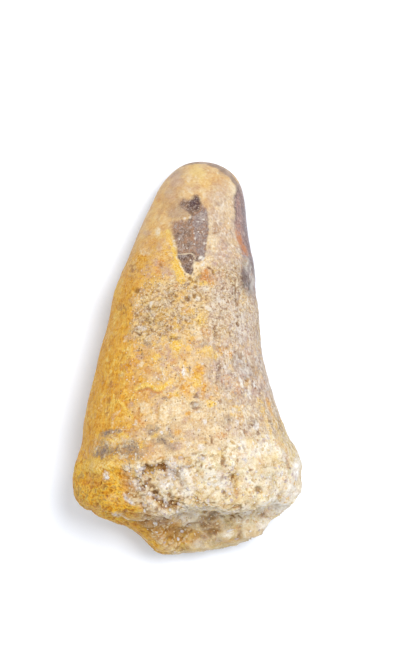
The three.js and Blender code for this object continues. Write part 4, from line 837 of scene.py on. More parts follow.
    ("gold", 92, 486, 8, 10, 0, 0.5), ("rust", 89, 475, 4, 4, 0, 0.5), ("mauve", 82, 489, 4, 6, 0, 0.2),
    ("pale", 112, 497, 8, 3, -8, 0.35), ("grey", 118, 502, 9, 4, 0, 0.4), ("gold", 110, 506, 5, 5, 30, 0.4),
    ("rust", 97, 505, 3, 3, 0, 0.5), ("rust", 90, 511, 8, 3, 25, 0.45), ("white", 116.6, 514.6, 4.8, 2.6, 14, 0.9),
    ("dusk", 121.6, 513, 2.6, 3, 0, 0.3), ("rust", 127, 517, 6, 5, 0, 0.55), ("rust", 138, 524, 6, 3.4, 10, 0.5),
    ("gold", 139, 528, 8, 3, 20, 0.6), ("rust", 148, 521, 5, 4, 0, 0.65), ("gold", 146, 535, 5, 7, -35, 0.7),
    ("gold", 154, 544, 4, 7, -35, 0.7), ("pale", 152, 535, 4, 3, -30, 0.3), ("brown", 154, 526, 6, 5, 0, 0.35),
    ("gold", 151, 513, 4, 2.4, 30, 0.5), ("yellow", 139, 513, 5, 2.6, 40, 0.55), ("rust", 140.5, 507, 2, 2, 0, 0.4),
    ("rust", 149.5, 499.6, 3, 1.8, 20, 0.6), ("gold", 140, 499.6, 3, 1.6, 20, 0.55), ("yellow", 146.6, 473.6, 3, 1.8, 0, 0.8),
    ("gold", 149, 467, 4, 4, 0, 0.45), ("yellow", 154.6, 473, 2.8, 6.6, 10, 0.55), ("grey", 155.6, 468, 2, 5, 10, 0.5),
    ("grey", 153, 486, 6, 5, 0, 0.45), ("gold", 143, 477, 3, 2, 0, 0.4), ("brown", 163, 474, 5, 6, 0, 0.35),
    ("rust", 176, 462, 4, 5, 0, 0.4), ("gold", 179, 457, 5, 3, 0, 0.5), ("gold", 188, 462, 4, 6, 0, 0.35),
    ("gold", 177, 521, 8, 5, 0, 0.4), ("rust", 173, 524, 3, 2, 0, 0.5), ("grey", 176, 508, 7, 4, 0, 0.35),
    ("grey", 187, 508, 6, 7, 0, 0.35), ("gold", 183, 499, 6, 4, 0, 0.35),
    # white and pinkish quartz; the brown and dark spots between the grains are partly dirt and partly painted shade
    ("brown", 152, 486, 9, 7, 0, 0.7), ("brown", 136, 497, 13, 4, 10, 0.6), ("brown", 170, 501, 4, 9, 0, 0.6),
    ("brown", 158, 508, 9, 4, 0, 0.6), ("brown", 128, 482, 4, 8, -20, 0.55), ("brown", 146, 470, 4, 6, 0, 0.5),
    ("rust", 125, 482, 5, 9, -25, 0.8), ("brown", 130, 491, 4, 4, 0, 0.7), ("rust", 128, 472, 4, 5, 0, 0.6), ("gold", 132, 496, 4, 2, 20, 0.6),
    ("brown", 147, 481, 4, 5, 0, 0.8), ("dusk", 146, 484, 2.4, 2.4, 0, 0.6), ("brown", 151, 488, 5, 3, 0, 0.8), ("dusk", 155, 491, 4, 1.6, 0, 0.6),
    ("brown", 147, 497, 7, 2, 20, 0.7), ("brown", 158, 506, 5, 3, 0, 0.8), ("dusk", 171, 500, 1.8, 5, 0, 0.6), ("brown", 175, 506, 3, 4, 0, 0.7),
    ("gold", 150, 508, 5, 3, 20, 0.6), ("brown", 159, 470, 2.4, 5, 0, 0.6), ("gold", 152, 474, 3, 5, 0, 0.5),
    ("white", 171, 468, 6, 10, 0, 0.8), ("white", 184, 475, 6, 9, 0, 0.7),
    ("white", 167, 485, 6, 4, 0, 0.8), ("white", 136, 484, 2.6, 5, -28, 0.7), ("white", 186, 494, 8, 6, 0, 0.55),
    ("white", 140, 469.6, 4.8, 3.4, -10, 0.95), ("white", 139.6, 476.4, 2.6, 2.4, 0, 0.9), ("white", 136.6, 485.4, 2.6, 5.4, -28, 0.85),
    ("mauve", 137.6, 487, 2.6, 4.4, -28, 0.4), ("white", 141, 489, 2.6, 2.4, 0, 0.6), ("white", 126, 497.6, 1.9, 4.6, -28, 0.6),
    ("mauve", 126, 497, 2, 4.6, -28, 0.5), ("white", 131.6, 502, 4.2, 2.2, 32, 0.85), ("white", 149.6, 493.4, 4.4, 1.9, 30, 0.85),
    ("white", 157.6, 496.6, 4.6, 2.2, 30, 0.9), ("mauve", 157, 499, 4, 1.8, 30, 0.5), ("white", 165.6, 502, 2.2, 5, -20, 0.8),
    ("dusk", 168, 503, 1.4, 3, 0, 0.4), ("white", 170, 461, 4.6, 2.6, 0, 0.8), ("white", 170.6, 467, 3, 4.4, 0, 0.95),
    ("white", 174.6, 463.6, 1.8, 2.6, 0, 0.7), ("white", 172.4, 478.4, 4, 2.6, -12, 0.95), ("white", 166, 483.6, 4.4, 2, -14, 0.8),
    ("white", 162, 483, 1.8, 2, 0, 0.6), ("white", 166.6, 488, 2.6, 2, 0, 0.7), ("white", 187, 466.6, 4.2, 1.6, -26, 0.8),
    ("white", 183.4, 471, 2.2, 3.4, 10, 0.7), ("white", 163.4, 511, 3, 2.2, 0, 0.5), ("pale", 169, 516, 4, 3, 0, 0.4),
    ("mauve", 144, 505.6, 5, 2.2, 10, 0.5), ("white", 185, 522.4, 2.4, 1.2, -20, 0.5),
    # root end, right
    ("white", 298, 468, 5, 13, 0, 0.95), ("white", 291, 490, 9, 8, 0, 0.8), ("white", 280, 505, 10, 6, -30, 0.8), ("pale", 290, 450, 4, 12, -15, 0.7),
    ("mauve", 294, 474, 3, 4, 0, 0.45), ("yellow", 262, 472, 7, 4, 10, 0.3), ("yellow", 240, 478, 6, 5, 0, 0.3),
    ("yellow", 283, 486, 5, 4, 0, 0.35), ("mauve", 272, 488, 4, 5, 0, 0.35), ("mauve", 230, 486, 4, 4, 0, 0.3), ("yellow", 232, 500, 6, 4, 0, 0.35),
    ("grey", 276, 500, 5, 3, -40, 0.5), ("dusk", 299, 478, 1.2, 7, 10, 0.4), ("dusk", 293, 491, 3, 1.2, -50, 0.5), ("dusk", 282, 508, 4, 1.1, -45, 0.5),
    ("white", 296, 474, 5, 9, 0, 0.6), ("white", 291, 488, 7, 8, 0, 0.5), ("white", 280, 503, 8, 5, -20, 0.6), ("white", 262, 450, 12, 6, 0, 0.5),
    ("white", 245, 462, 8, 6, 0, 0.4), ("white", 215, 480, 9, 8, 0, 0.4), ("white", 186, 484, 9, 8, 0, 0.5), ("white", 250, 482, 10, 8, 0, 0.35),
    ("pale", 181, 484, 9, 10, 0, 0.6), ("pale", 186, 491, 10, 6, 0, 0.6), ("pale", 190, 475, 8, 6, 0, 0.5),
    ("pale", 216, 459, 4.6, 2.2, -10, 0.7), ("pale", 209, 462.6, 3, 2, 0, 0.6), ("white", 209.4, 464.6, 1.6, 2, 0, 0.5),
    ("gold", 202, 473.6, 2, 3.4, 0, 0.6), ("rust", 223, 461, 2, 5.4, 0, 0.5), ("rust", 221.6, 475.6, 2, 3, 0, 0.45),
    ("rust", 235, 475.6, 1.6, 1.6, 0, 0.45), ("rust", 237, 491.6, 4.4, 3, 0, 0.4), ("rust", 228, 490, 3, 6, 0, 0.35),
    ("gold", 245, 483.6, 3.4, 1.8, 0, 0.5), ("rust", 253, 472.6, 3.6, 1.8, 0, 0.4), ("rust", 262, 461.6, 3, 3, 0, 0.4),
    ("brown", 250.6, 470.6, 2, 1.4, 0, 0.4), ("gold", 259, 466, 3, 3, 0, 0.3), ("white", 245, 460, 3, 5, 0, 0.5),
    ("white", 228, 457, 3, 4, 0, 0.35), ("white", 229, 480, 3, 5, 0, 0.4), ("pale", 250, 456, 12, 6, 0, 0.5),
    ("pale", 268, 457, 8, 6, 0, 0.55), ("yellow", 276, 461, 4, 8, 0, 0.25), ("pale", 274, 466, 5, 8, 0, 0.4),
    ("mauve", 283, 473.6, 3, 2.2, 0, 0.4), ("white", 280, 473, 1.4, 2.6, 0, 0.6), ("gold", 282, 478.6, 3, 2, 0, 0.35),
    ("white", 295.6, 476, 3.6, 3.2, 0, 0.6), ("dusk", 296, 473, 4, 0.9, 0, 0.4), ("white", 294.6, 482.6, 3, 3.6, 0, 0.5),
    ("grey", 290, 470, 4, 5, 0, 0.3), ("grey", 258, 489, 4, 4, 0, 0.5), ("gold", 260.6, 492, 2, 2, 0, 0.6),
    ("white", 264.6, 505.6, 1.5, 5.8, 52, 0.9), ("white", 269, 502, 1.5, 6.6, 52, 0.95), ("white", 262, 509.6, 1.6, 3, 50, 0.7),
    ("rust", 269.6, 509, 4.4, 2.6, -48, 0.6), ("rust", 264, 515, 4, 2.6, -20, 0.5), ("white", 278, 511, 1.8, 3, 0, 0.6),
    ("gold", 254, 511, 2.6, 1.8, 0, 0.5), ("grey", 247, 515, 4, 2, 0, 0.4), ("white", 236.6, 512, 4, 1.4, -40, 0.45),
    ("gold", 206, 505, 3, 2.4, 0, 0.35), ("gold", 213, 511, 5, 2, 0, 0.45), ("rust", 224, 506, 5, 4, 0, 0.35),
    ("grey", 199, 516, 8, 5, 0, 0.45), ("white", 197, 514.6, 3, 2.6, 0, 0.4), ("white", 190.6, 521, 3, 1.6, 0, 0.4),
    ("pale", 214, 496, 9, 7, 0, 0.4), ("grey", 210, 499, 7, 4, 0, 0.3), ("pale", 240, 502, 9, 7, 0, 0.4),
    ("grey", 250, 502, 8, 4, 0, 0.35), ("grey", 285, 489, 7, 8, 0, 0.3), ("rust", 279, 494.6, 2.6, 2.2, 0, 0.35),
    # the ledge; the brown, grey and dark spots near U 203-213, V 521-532, by the crevice and in the dip below it, are
    # painted shade
    ("brown", 212, 528, 9, 8, 0, 1.0), ("dusk", 211, 524, 5, 3, 0, 0.35), ("brown", 203, 521, 8, 4, 0, 0.5), ("pale", 222, 512, 6, 2, 0, 0.6),
    ("white", 250, 512, 8, 2, -10, 0.6), ("pale", 196, 517, 6, 2, 0, 0.6), ("white", 190, 514, 4, 3, 0, 0.6), ("pale", 228, 534, 8, 6, -10, 1.0),
    ("brown", 168, 531, 14, 6, 25, 0.85), ("dusk", 160, 520, 9, 2.6, 25, 0.5), ("gold", 150, 516, 10, 4, 20, 0.6),
    ("brown", 152, 523, 8, 5, 20, 0.7), ("gold", 176, 538, 10, 4, 10, 0.7), ("dusk", 178, 528, 6, 2, 0, 0.5), ("gold", 166, 524, 4, 3, 0, 0.6),
    ("yellow", 186, 536, 5, 4, 0, 0.6), ("brown", 188, 530, 3, 5, 0, 0.6), ("white", 182, 516, 4, 3, 0, 0.6), ("white", 186, 508, 3, 4, 0, 0.6),
    ("dusk", 128, 520, 8, 2, 25, 0.4), ("gold", 140, 530, 6, 3, 30, 0.7), ("pale", 247, 534, 5, 6, 0, 1.0),
    ("mauve", 258, 527, 5, 5, 0, 0.6), ("pale", 204, 545, 8, 2.6, 0, 0.7), ("brown", 196, 533, 4, 6, 0, 0.5),
    ("white", 228, 533, 5, 4, -10, 0.5), ("brown", 239.6, 533, 2.4, 8, 0, 0.8), ("pale", 251, 530, 9, 8, 0, 0.9),
    ("mauve", 252, 531, 7, 6, 0, 0.5), ("white", 262, 524, 6, 4, 0, 0.6), ("gold", 190, 536, 10, 6, 0, 0.7),
    ("yellow", 183, 542, 8, 5, 0, 0.7), ("brown", 178, 531, 9, 4, 0, 0.8), ("brown", 160, 522, 16, 6, 20, 0.8),
    ("gold", 160, 536, 14, 8, 30, 0.8), ("pale", 193, 545, 7, 4, 0, 0.6), ("grey", 214, 540, 8, 4, 0, 0.6),
    ("gold", 216, 522, 6, 3, 0, 0.7), ("pale", 170, 546, 6, 4, 0, 0.6), ("brown", 147, 527, 8, 4, 25, 0.7),
    ("pale", 236, 519, 9, 2, 5, 0.5), ("brown", 210, 532, 7, 5, 0, 0.5), ("grey", 204, 526, 5, 5, 0, 0.5),
    ("gold", 217, 531.6, 3, 2.2, 0, 0.55), ("gold", 220, 525, 4, 2, 0, 0.45), ("pale", 227, 534, 6.6, 4.4, -10, 0.65),
    ("pale", 245.6, 534, 5.4, 4.4, 0, 0.6), ("mauve", 246, 536, 4, 2.4, 0, 0.35), ("grey", 228, 521, 5, 2, 0, 0.5),
    ("white", 239.6, 520.6, 4, 1.8, 0, 0.5), ("pale", 250, 524.6, 6, 4, 0, 0.45), ("rust", 238, 527.6, 2, 1.6, 0, 0.4),
    ("white", 268, 521.6, 3.6, 2.4, 0, 0.5), ("grey", 190, 529, 6, 5, 0, 0.45), ("grey", 207, 541, 10, 3, 0, 0.4),
    ("pale", 197, 543, 5, 4, 0, 0.4), ("gold", 188, 541, 5, 5, 0, 0.4), ("pale", 160, 541, 4, 3, 0, 0.5),
    ("pale", 168, 548, 9, 3, 0, 0.5), ("yellow", 176, 538, 6, 3, 0, 0.4), ("grey", 181, 534, 6, 3, 0, 0.4),
    ("mauve", 172, 532, 3, 2.6, 0, 0.4), ("brown", 167.6, 537, 3.6, 2.2, 0, 0.45), ("gold", 182, 545.6, 4, 2.4, 0, 0.35),
    ("brown", 176.6, 545.6, 4, 1.8, 0, 0.4), ("gold", 228, 542, 8, 2, 0, 0.35), ("grey", 256, 533, 5, 5, 0, 0.3),
]
# Stained lines, with some lines of painted highlight and shade among them: kind, points, half width, strength.
STREAKS_AND_PAINTED_LIGHT = [
    ("yellow", [(168, 232), (171, 240), (174, 249), (176.5, 257), (179, 265), (181, 273), (182.4, 281)], 2.7, 1.0),
    ("yellow", [(173, 262), (177, 272), (179, 280)], 2.0, 0.7),
    ("yellow", [(137, 390), (142, 387), (147, 384.6), (151, 386.6), (156, 389.6), (160, 389.4), (164, 386), (169, 382.4)], 1.9, 1.0),
    # The rust line just below the yellow ridge is painted shade under it.
    ("rust", [(137, 392.6), (143, 390.6), (149, 389.4), (156, 393), (162, 392.6)], 1.2, 0.6),
    ("yellow", [(112, 403.5), (114.5, 400.6), (119, 401.4), (123, 403.6), (124.4, 409)], 1.5, 0.9),
    ("yellow", [(126, 399.6), (131, 398), (134, 395)], 1.0, 0.7),
    ("yellow", [(117, 418.6), (123, 418.4), (128, 416)], 2.2, 0.5),
    ("yellow", [(127, 410.5), (130, 413), (132, 416)], 2.2, 0.6),
    ("yellow", [(170, 393), (174, 392), (178, 395), (176, 397.4)], 0.9, 0.6),
    # The pale lines along the window's rim are painted highlight on its lit edge.
    ("pale", [(177.6, 254), (184, 253.6), (190, 253.2), (193, 254.6), (194.4, 258), (194.4, 264), (193.6, 270)], 0.5, 0.8),
    ("pale", [(176.6, 256.6), (179.4, 263.6), (183, 270.6), (187, 275)], 0.8, 0.8),
    ("pale", [(187, 275.6), (190.6, 277), (194, 275), (196.4, 270), (197, 264)], 1.5, 0.7),
    ("pale", [(171.6, 238), (173.6, 243), (175.2, 248)], 1.0, 0.6),
    # The dark lines along the top and right rim are partly a dark band of the tooth and partly painted shade where the
    # rim turns away.
    ("dusk", [(183, 165), (190, 163.4), (200, 162.4), (210, 163.2), (219, 166.6)], 1.2, 0.7),
    ("dusk", [(208, 163), (217, 166), (225, 171), (231.6, 177), (237, 185), (240.6, 194), (242.6, 203), (244.8, 216), (246.8, 232), (249.4, 246), (252.6, 260), (255, 276)], 2.0, 0.8),
    ("mauve", [(186, 163), (196, 161), (208, 161.4), (218, 165)], 1.6, 0.5),
    ("grey", [(233.6, 262), (234.6, 270), (234, 280), (235, 290), (236, 300)], 1.2, 0.5),
    ("pale", [(137, 256), (136, 262)], 0.8, 0.3),
    ("brown", [(165, 206), (160, 212), (158, 220)], 1.6, 0.35),
    ("brown", [(171, 188), (175, 193), (176, 200)], 1.4, 0.3),
    ("brown", [(146, 253), (148, 262), (147, 272)], 1.2, 0.25),
    ("gold", [(113, 296), (111, 312), (108, 330), (104, 350), (100, 370), (95, 392)], 3.2, 0.5),
    ("brown", [(111, 374), (110, 386), (109, 398), (106, 416)], 2.0, 0.35),
    ("brown", [(122, 350), (121, 366), (118, 384)], 1.4, 0.25),
    ("rust", [(286, 447), (287, 458), (286.6, 468)], 1.5, 0.6),
    ("brown", [(283, 430), (287, 442), (289, 452)], 0.9, 0.45),
    ("pale", [(287, 438), (291, 448), (294, 458)], 1.4, 0.4),
    ("dusk", [(286, 424), (291, 436), (296, 450), (299, 462)], 0.9, 0.4),
    ("yellow", [(258, 398), (265, 416), (271, 436)], 1.8, 0.5),
    ("gold", [(267, 398), (275, 422), (282, 444)], 1.3, 0.6),
    ("dusk", [(271, 398), (279, 420), (287, 444)], 0.7, 0.5),
    ("grey", [(262, 396), (270, 418), (277, 438)], 1.0, 0.5),
]
KINDS = ("brown", "mauve", "grey", "rust", "gold", "yellow", "pale", "dusk", "white")
SCATTERED = (
    ("pale", 3.0, 0.16, 0.75), ("yellow", 3.6, 0.14, 0.75), ("gold", 3.2, 0.12, 0.6), ("rust", 2.6, 0.22, 0.6),
    ("brown", 2.4, 0.28, 0.5), ("grey", 2.8, 0.20, 0.7), ("mauve", 3.2, 0.18, 0.55), ("dusk", 1.6, 0.38, 0.5),
    ("white", 0.9, 0.42, 0.8),
)


def mark_stains_and_light(p, f):
    out = {k: np.zeros(len(p)) for k in KINDS}
    for kind, cx, cy, rx, ry, turn, strength in STAINS_AND_PAINTED_LIGHT:
        far = max(rx, ry) * 1.6 + 5
        near = np.flatnonzero((np.abs(f["u"] - cx) < far) & (np.abs(f["v"] - cy) < far) & (f["seen"] > 0))
        if not len(near):
            continue
        a, b = ("us", "vs") if min(rx, ry) < 3.2 else ("uw", "vw")
        k = spot(f[a][near], f[b][near], cx, cy, rx, ry, turn, 0.5) * f["seen"][near] * strength
        out[kind][near] = np.maximum(out[kind][near], k)
    for kind, points, half, strength in STREAKS_AND_PAINTED_LIGHT:
        dist, along = from_line(f["us"], f["vs"], points)
        k = (1 - ss(half * 0.55, half * 1.5, dist)) * f["seen"] * strength
        out[kind] = np.maximum(out[kind], k)
    # The sides that the camera doesn't see carry the same kinds of stain, scattered.
    blind = 1 - f["seen"]
    for number, (kind, scale, low, strength) in enumerate(SCATTERED):
        k = ss(low, low + 0.35, fbm(p / scale, 80 + number, 3, 0.6)) * strength
        out[kind] = np.maximum(out[kind], k * (blind + 0.2 * f["seen"] * (1 - f["tip"])))
    return out


def give(ob, name, values):
    a = ob.data.attributes.new(name, "FLOAT", "POINT")
    a.data.foreach_set("value", np.asarray(values, np.float32))


def skin(name, keep, sink, guess, quads=TARGET_QUADS):
    """Part of the tooth's surface as a fine mesh: remeshed evenly, cut to keep(edge, up), and given its relief.
    Where it runs under its neighbour, sink(edge, up) lowers it a little."""
    for _ in range(3):
        ob = new_object(name, *smooth)
        ob = modified(ob, "REMESH", mode="VOXEL", voxel_size=guess)
        co, loops, sizes = arrays(ob.data)
        edges = edges_of(loops, sizes)
        count = np.maximum(np.bincount(edges.ravel(), minlength=len(co)), 1)
        for _ in range(6):
            co = averaged(co, edges, count, 0.5)
            co = averaged(co, edges, count, -0.52)
        n = normals_of(co, loops, sizes)
        to_cam = CAM - co
        seen = ss(-0.1, 0.15, (to_cam * n).sum(1) / np.linalg.norm(to_cam, axis=1))
        end = ss(0.35, 0.75, -n[:, 1]) * ss(27.0, 31.0, tip_y - co[:, 1])
        edge = np.maximum(root_edge(co, seen), 40 * (end > 0.5) - 20)
        starts = np.cumsum(sizes) - sizes
        corner = loops[starts[:, None] + np.arange(4)]
        used = keep(edge, n[:, 2])[corner].all(1)
        old = ob.data
        bpy.data.objects.remove(ob)
        bpy.data.meshes.remove(old)
        print(name, "voxel", round(guess, 4), "quads", used.sum())
        if quads > used.sum() > 0.9 * quads:
            break
        guess *= math.sqrt(used.sum() / (quads * 0.96))
    corner = corner[used]
    spare = len(corner) - quads
    assert spare < 400, spare
    want, corner = np.unique(corner, return_inverse=True)
    rest, loops, sizes, edges, count = quartered(co[want], corner.reshape(-1, 4))
    n = normals_of(rest, loops, sizes)
    f = fields(rest, n)
    h, marks = relief(rest, n, f)
    out = rest + n * (h - sink(np.maximum(f["edge"], 40 * f["end"] - 20), n[:, 2]))[:, None]
    out[:, 2] = np.maximum(out[:, 2], 0.0)
    n2 = normals_of(out, loops, sizes)
    # How hollow or proud each spot is beside what surrounds it.
    even = out.copy()
    for _ in range(3):
        even = averaged(even, edges, count, 0.8)
    fine = ((even - out) * n2).sum(1)
    for _ in range(9):
        even = averaged(even, edges, count, 0.8)
    broad = ((even - out) * n2).sum(1)
    hollow = np.clip(fine / 0.035, -1, 1) * 0.5 + np.clip(broad / 0.09, -1, 1) * 0.5
    ob = new_object(name, out / MM, loops, sizes)
    stain_and_light_masks = mark_stains_and_light(rest, f)
    for kind in KINDS:
        give(ob, kind, stain_and_light_masks[kind])
    for key in ("low", "amber", "drab", "rough", "gritty", "tip", "root", "fibre", "bare", "window", "window_part", "strip", "strip_part"):
        give(ob, key, f[key])
    for key in ("pits", "sandy", "up", "lot", "lot3", "grainy", "shade", "grain_lines", "pale_sand", "ledge"):
        give(ob, key, marks[key])
    give(ob, "hollow", hollow)
    print(name, len(rest), "vertices", len(sizes), "faces", "voxel", round(guess, 4))
    return ob, out, loops, sizes, f, marks, n2


crown, crown_co, _, _, crown_f, _, crown_n = skin(
    "tooth_crown", lambda e, z: (e < 12) & (z > -0.30), lambda e, z: 0.09 * ss(-5, 8, e) + 0.05 * ss(-0.12, -0.24, z), 0.23
)
under, *_ = skin(
    "tooth_underside", lambda e, z: (e < 12) & (z < -0.06), lambda e, z: 0.09 * ss(-5, 8, e) + 0.05 * ss(-0.24, -0.12, z), 0.25, 15000
)
crust, co, loops, sizes, f, marks, crust_n = skin("tooth_root", lambda e, z: e > -8, lambda e, z: 0.09 * ss(8, -5, e), 0.2206)
skins = ((co, crust_n, "crust", f), (crown_co, crown_n, "crown", crown_f))


# ---------------------------------------------------------------- grains of sand
lots = np.random.default_rng(4021)


def ico(level):
    t = (1 + 5**0.5) / 2
    v = [(-1, t, 0), (1, t, 0), (-1, -t, 0), (1, -t, 0), (0, -1, t), (0, 1, t), (0, -1, -t), (0, 1, -t),
         (t, 0, -1), (t, 0, 1), (-t, 0, -1), (-t, 0, 1)]
    v = [np.array(x) / math.hypot(1, t) for x in v]
    fs = [(0, 11, 5), (0, 5, 1), (0, 1, 7), (0, 7, 10), (0, 10, 11), (1, 5, 9), (5, 11, 4), (11, 10, 2), (10, 7, 6),
          (7, 1, 8), (3, 9, 4), (3, 4, 2), (3, 2, 6), (3, 6, 8), (3, 8, 9), (4, 9, 5), (2, 4, 11), (6, 2, 10),
          (8, 6, 7), (9, 8, 1)]
    for _ in range(level):
        cache, out = {}, []

        def middle(a, b):
            key = (min(a, b), max(a, b))
            if key not in cache:
                m = v[a] + v[b]
                v.append(m / np.linalg.norm(m))
                cache[key] = len(v) - 1
            return cache[key]

        for a, b, c in fs:
            ab, bc, ca = middle(a, b), middle(b, c), middle(c, a)
            out += [(a, ab, ca), (b, bc, ab), (c, ca, bc), (ab, bc, ca)]
        fs = out
    return np.array(v), np.array(fs)


def pebbles(level, many, sharp):
    """Unit grains: a ball cut back by random planes."""
    v, fs = ico(level)
    kept = []
    for _ in range(many):
        planes = lots.normal(size=(int(lots.integers(7, 12)), 3))
        planes /= np.linalg.norm(planes, axis=1)[:, None]
        height = lots.uniform(0.5, 0.9, len(planes))
        dots = v @ planes.T
        r = np.minimum(1.0, np.where(dots > 0.05, height / np.maximum(dots, 0.05), 9).min(1))
        r = lerp(1.0, r, sharp) * (1 + 0.05 * lots.normal(size=len(v)))
        kept.append(v * r[:, None])
    return np.array(kept), fs


def turned(n):
    q = lots.normal(size=(n, 4))
    q /= np.linalg.norm(q, axis=1)[:, None]
    w, x, y, z = q.T
    return np.stack(
        [
            np.stack([1 - 2 * (y * y + z * z), 2 * (x * y - z * w), 2 * (x * z + y * w)], 1),
            np.stack([2 * (x * y + z * w), 1 - 2 * (x * x + z * z), 2 * (y * z - x * w)], 1),
            np.stack([2 * (x * z - y * w), 2 * (y * z + x * w), 1 - 2 * (x * x + y * y)], 1),
        ],
        1,
    )


def heap(name, centres, radii, kinds, tones, shapes, stretch, spins, smooth=False):
    """One joined mesh of many grains."""
    proto, fs = shapes
    n, per = len(centres), proto.shape[1]
    pick = lots.integers(0, len(proto), n)
    local = proto[pick] * stretch[:, None, :]
    co = np.einsum("nij,nkj->nki", spins, local) * radii[:, None, None] + centres[:, None, :]
    co = co.reshape(-1, 3)
    co[:, 2] = np.maximum(co[:, 2], 0.0)
    faces = (fs[None] + (np.arange(n) * per)[:, None, None]).reshape(-1, 3)
    ob = new_object(name, co / MM, faces.ravel(), np.full(len(faces), 3), smooth)
    give(ob, "kind", np.repeat(kinds, per))
    give(ob, "tone", np.repeat(tones, per))
    side = int(math.ceil(math.sqrt(n)))
    cell = np.stack([np.arange(n) % side, np.arange(n) // side], 1)
    uv = (cell[:, None, :] + 0.5 + 0.42 * proto[pick][:, :, :2]) / side
    layer = ob.data.uv_layers.new(name="OFBake")
    layer.data.foreach_set("uv", uv.reshape(-1, 2)[faces.ravel()].astype(np.float32).ravel())
    return ob


starts = np.cumsum(sizes) - sizes
quads = loops[starts[:, None] + np.arange(4)]
centre = co[quads].mean(1)
across_ = np.cross(co[quads[:, 2]] - co[quads[:, 0]], co[quads[:, 3]] - co[quads[:, 1]])
area = np.linalg.norm(across_, axis=1) / 2
out_n = across_ / np.maximum(np.linalg.norm(across_, axis=1), 1e-9)[:, None]
at = {k: f[k][quads].mean(1) for k in ("u", "v", "edge", "seen", "end")}
at.update({k: marks[k][quads].mean(1) for k in ("sandy", "pits", "loose", "up")})

weight = area * ss(0.5, 0.95, at["sandy"]) * (centre[:, 2] > 0.25) * (1 - 0.7 * at["pits"]) * (0.35 + 0.65 * at["loose"])
weight *= 1 - 0.9 * at["seen"] * ss(526, 534, at["v"] + 12 * ss(195, 180, at["u"]))
weight *= 1 - ss(0.62, 0.42, np.abs(out_n[:, 2])) * ss(0.0, 0.02, at["seen"])
weight *= np.where((at["seen"] > 0) & (at["u"] > 295), 0.0, 1.0)
draws = lots.choice(len(centre), size=14000, p=weight / weight.sum())
radius_of = 0.12 + 0.20 * lots.random(len(draws)) ** 1.8 * lerp(0.35, 1.0, ss(0.5, 0.7, at["seen"][draws]))
kept, cells = [], {}
for order, (i, r) in enumerate(zip(draws, radius_of)):
    c = centre[i]
    key = tuple((c / 0.9).astype(int))
    clash = any(
        (c[0] - q[0]) ** 2 + (c[1] - q[1]) ** 2 + (c[2] - q[2]) ** 2 < (0.95 * (r + qr)) ** 2
        for dx in (-1, 0, 1) for dy in (-1, 0, 1) for dz in (-1, 0, 1)
        for q, qr in cells.get((key[0] + dx, key[1] + dy, key[2] + dz), ())
    )
    if not clash:
        cells.setdefault(key, []).append((c, r))
        kept.append(order)
    if len(kept) >= 1700:
        break
kept = np.array(kept)
i, r = draws[kept], radius_of[kept]
n = len(kept)
print("grains", n)
roll = lots.random(n)
white = 0.22 + 0.10 * at["loose"][i]
kinds = np.select([roll < white, roll < 0.40, roll < 0.88, roll < 0.95], [0.1, 0.2, 0.3, 0.5], 0.7)
kinds = np.where((kinds > 0.45) & (at["seen"][i] > 0.5), 0.3, kinds)
tones = lots.random(n)
centres = centre[i] + out_n[i] * (r * lots.uniform(-0.75, -0.2, n))[:, None]
centres[:, 2] = np.maximum(centres[:, 2], r * 0.55)
stretch = np.stack([lots.uniform(0.9, 1.5, n), lots.uniform(0.75, 1.05, n), lots.uniform(0.55, 0.9, n)], 1)
sand = heap("sand_grains", centres, r, kinds, tones, pebbles(1, 40, 0.95), stretch, turned(n))

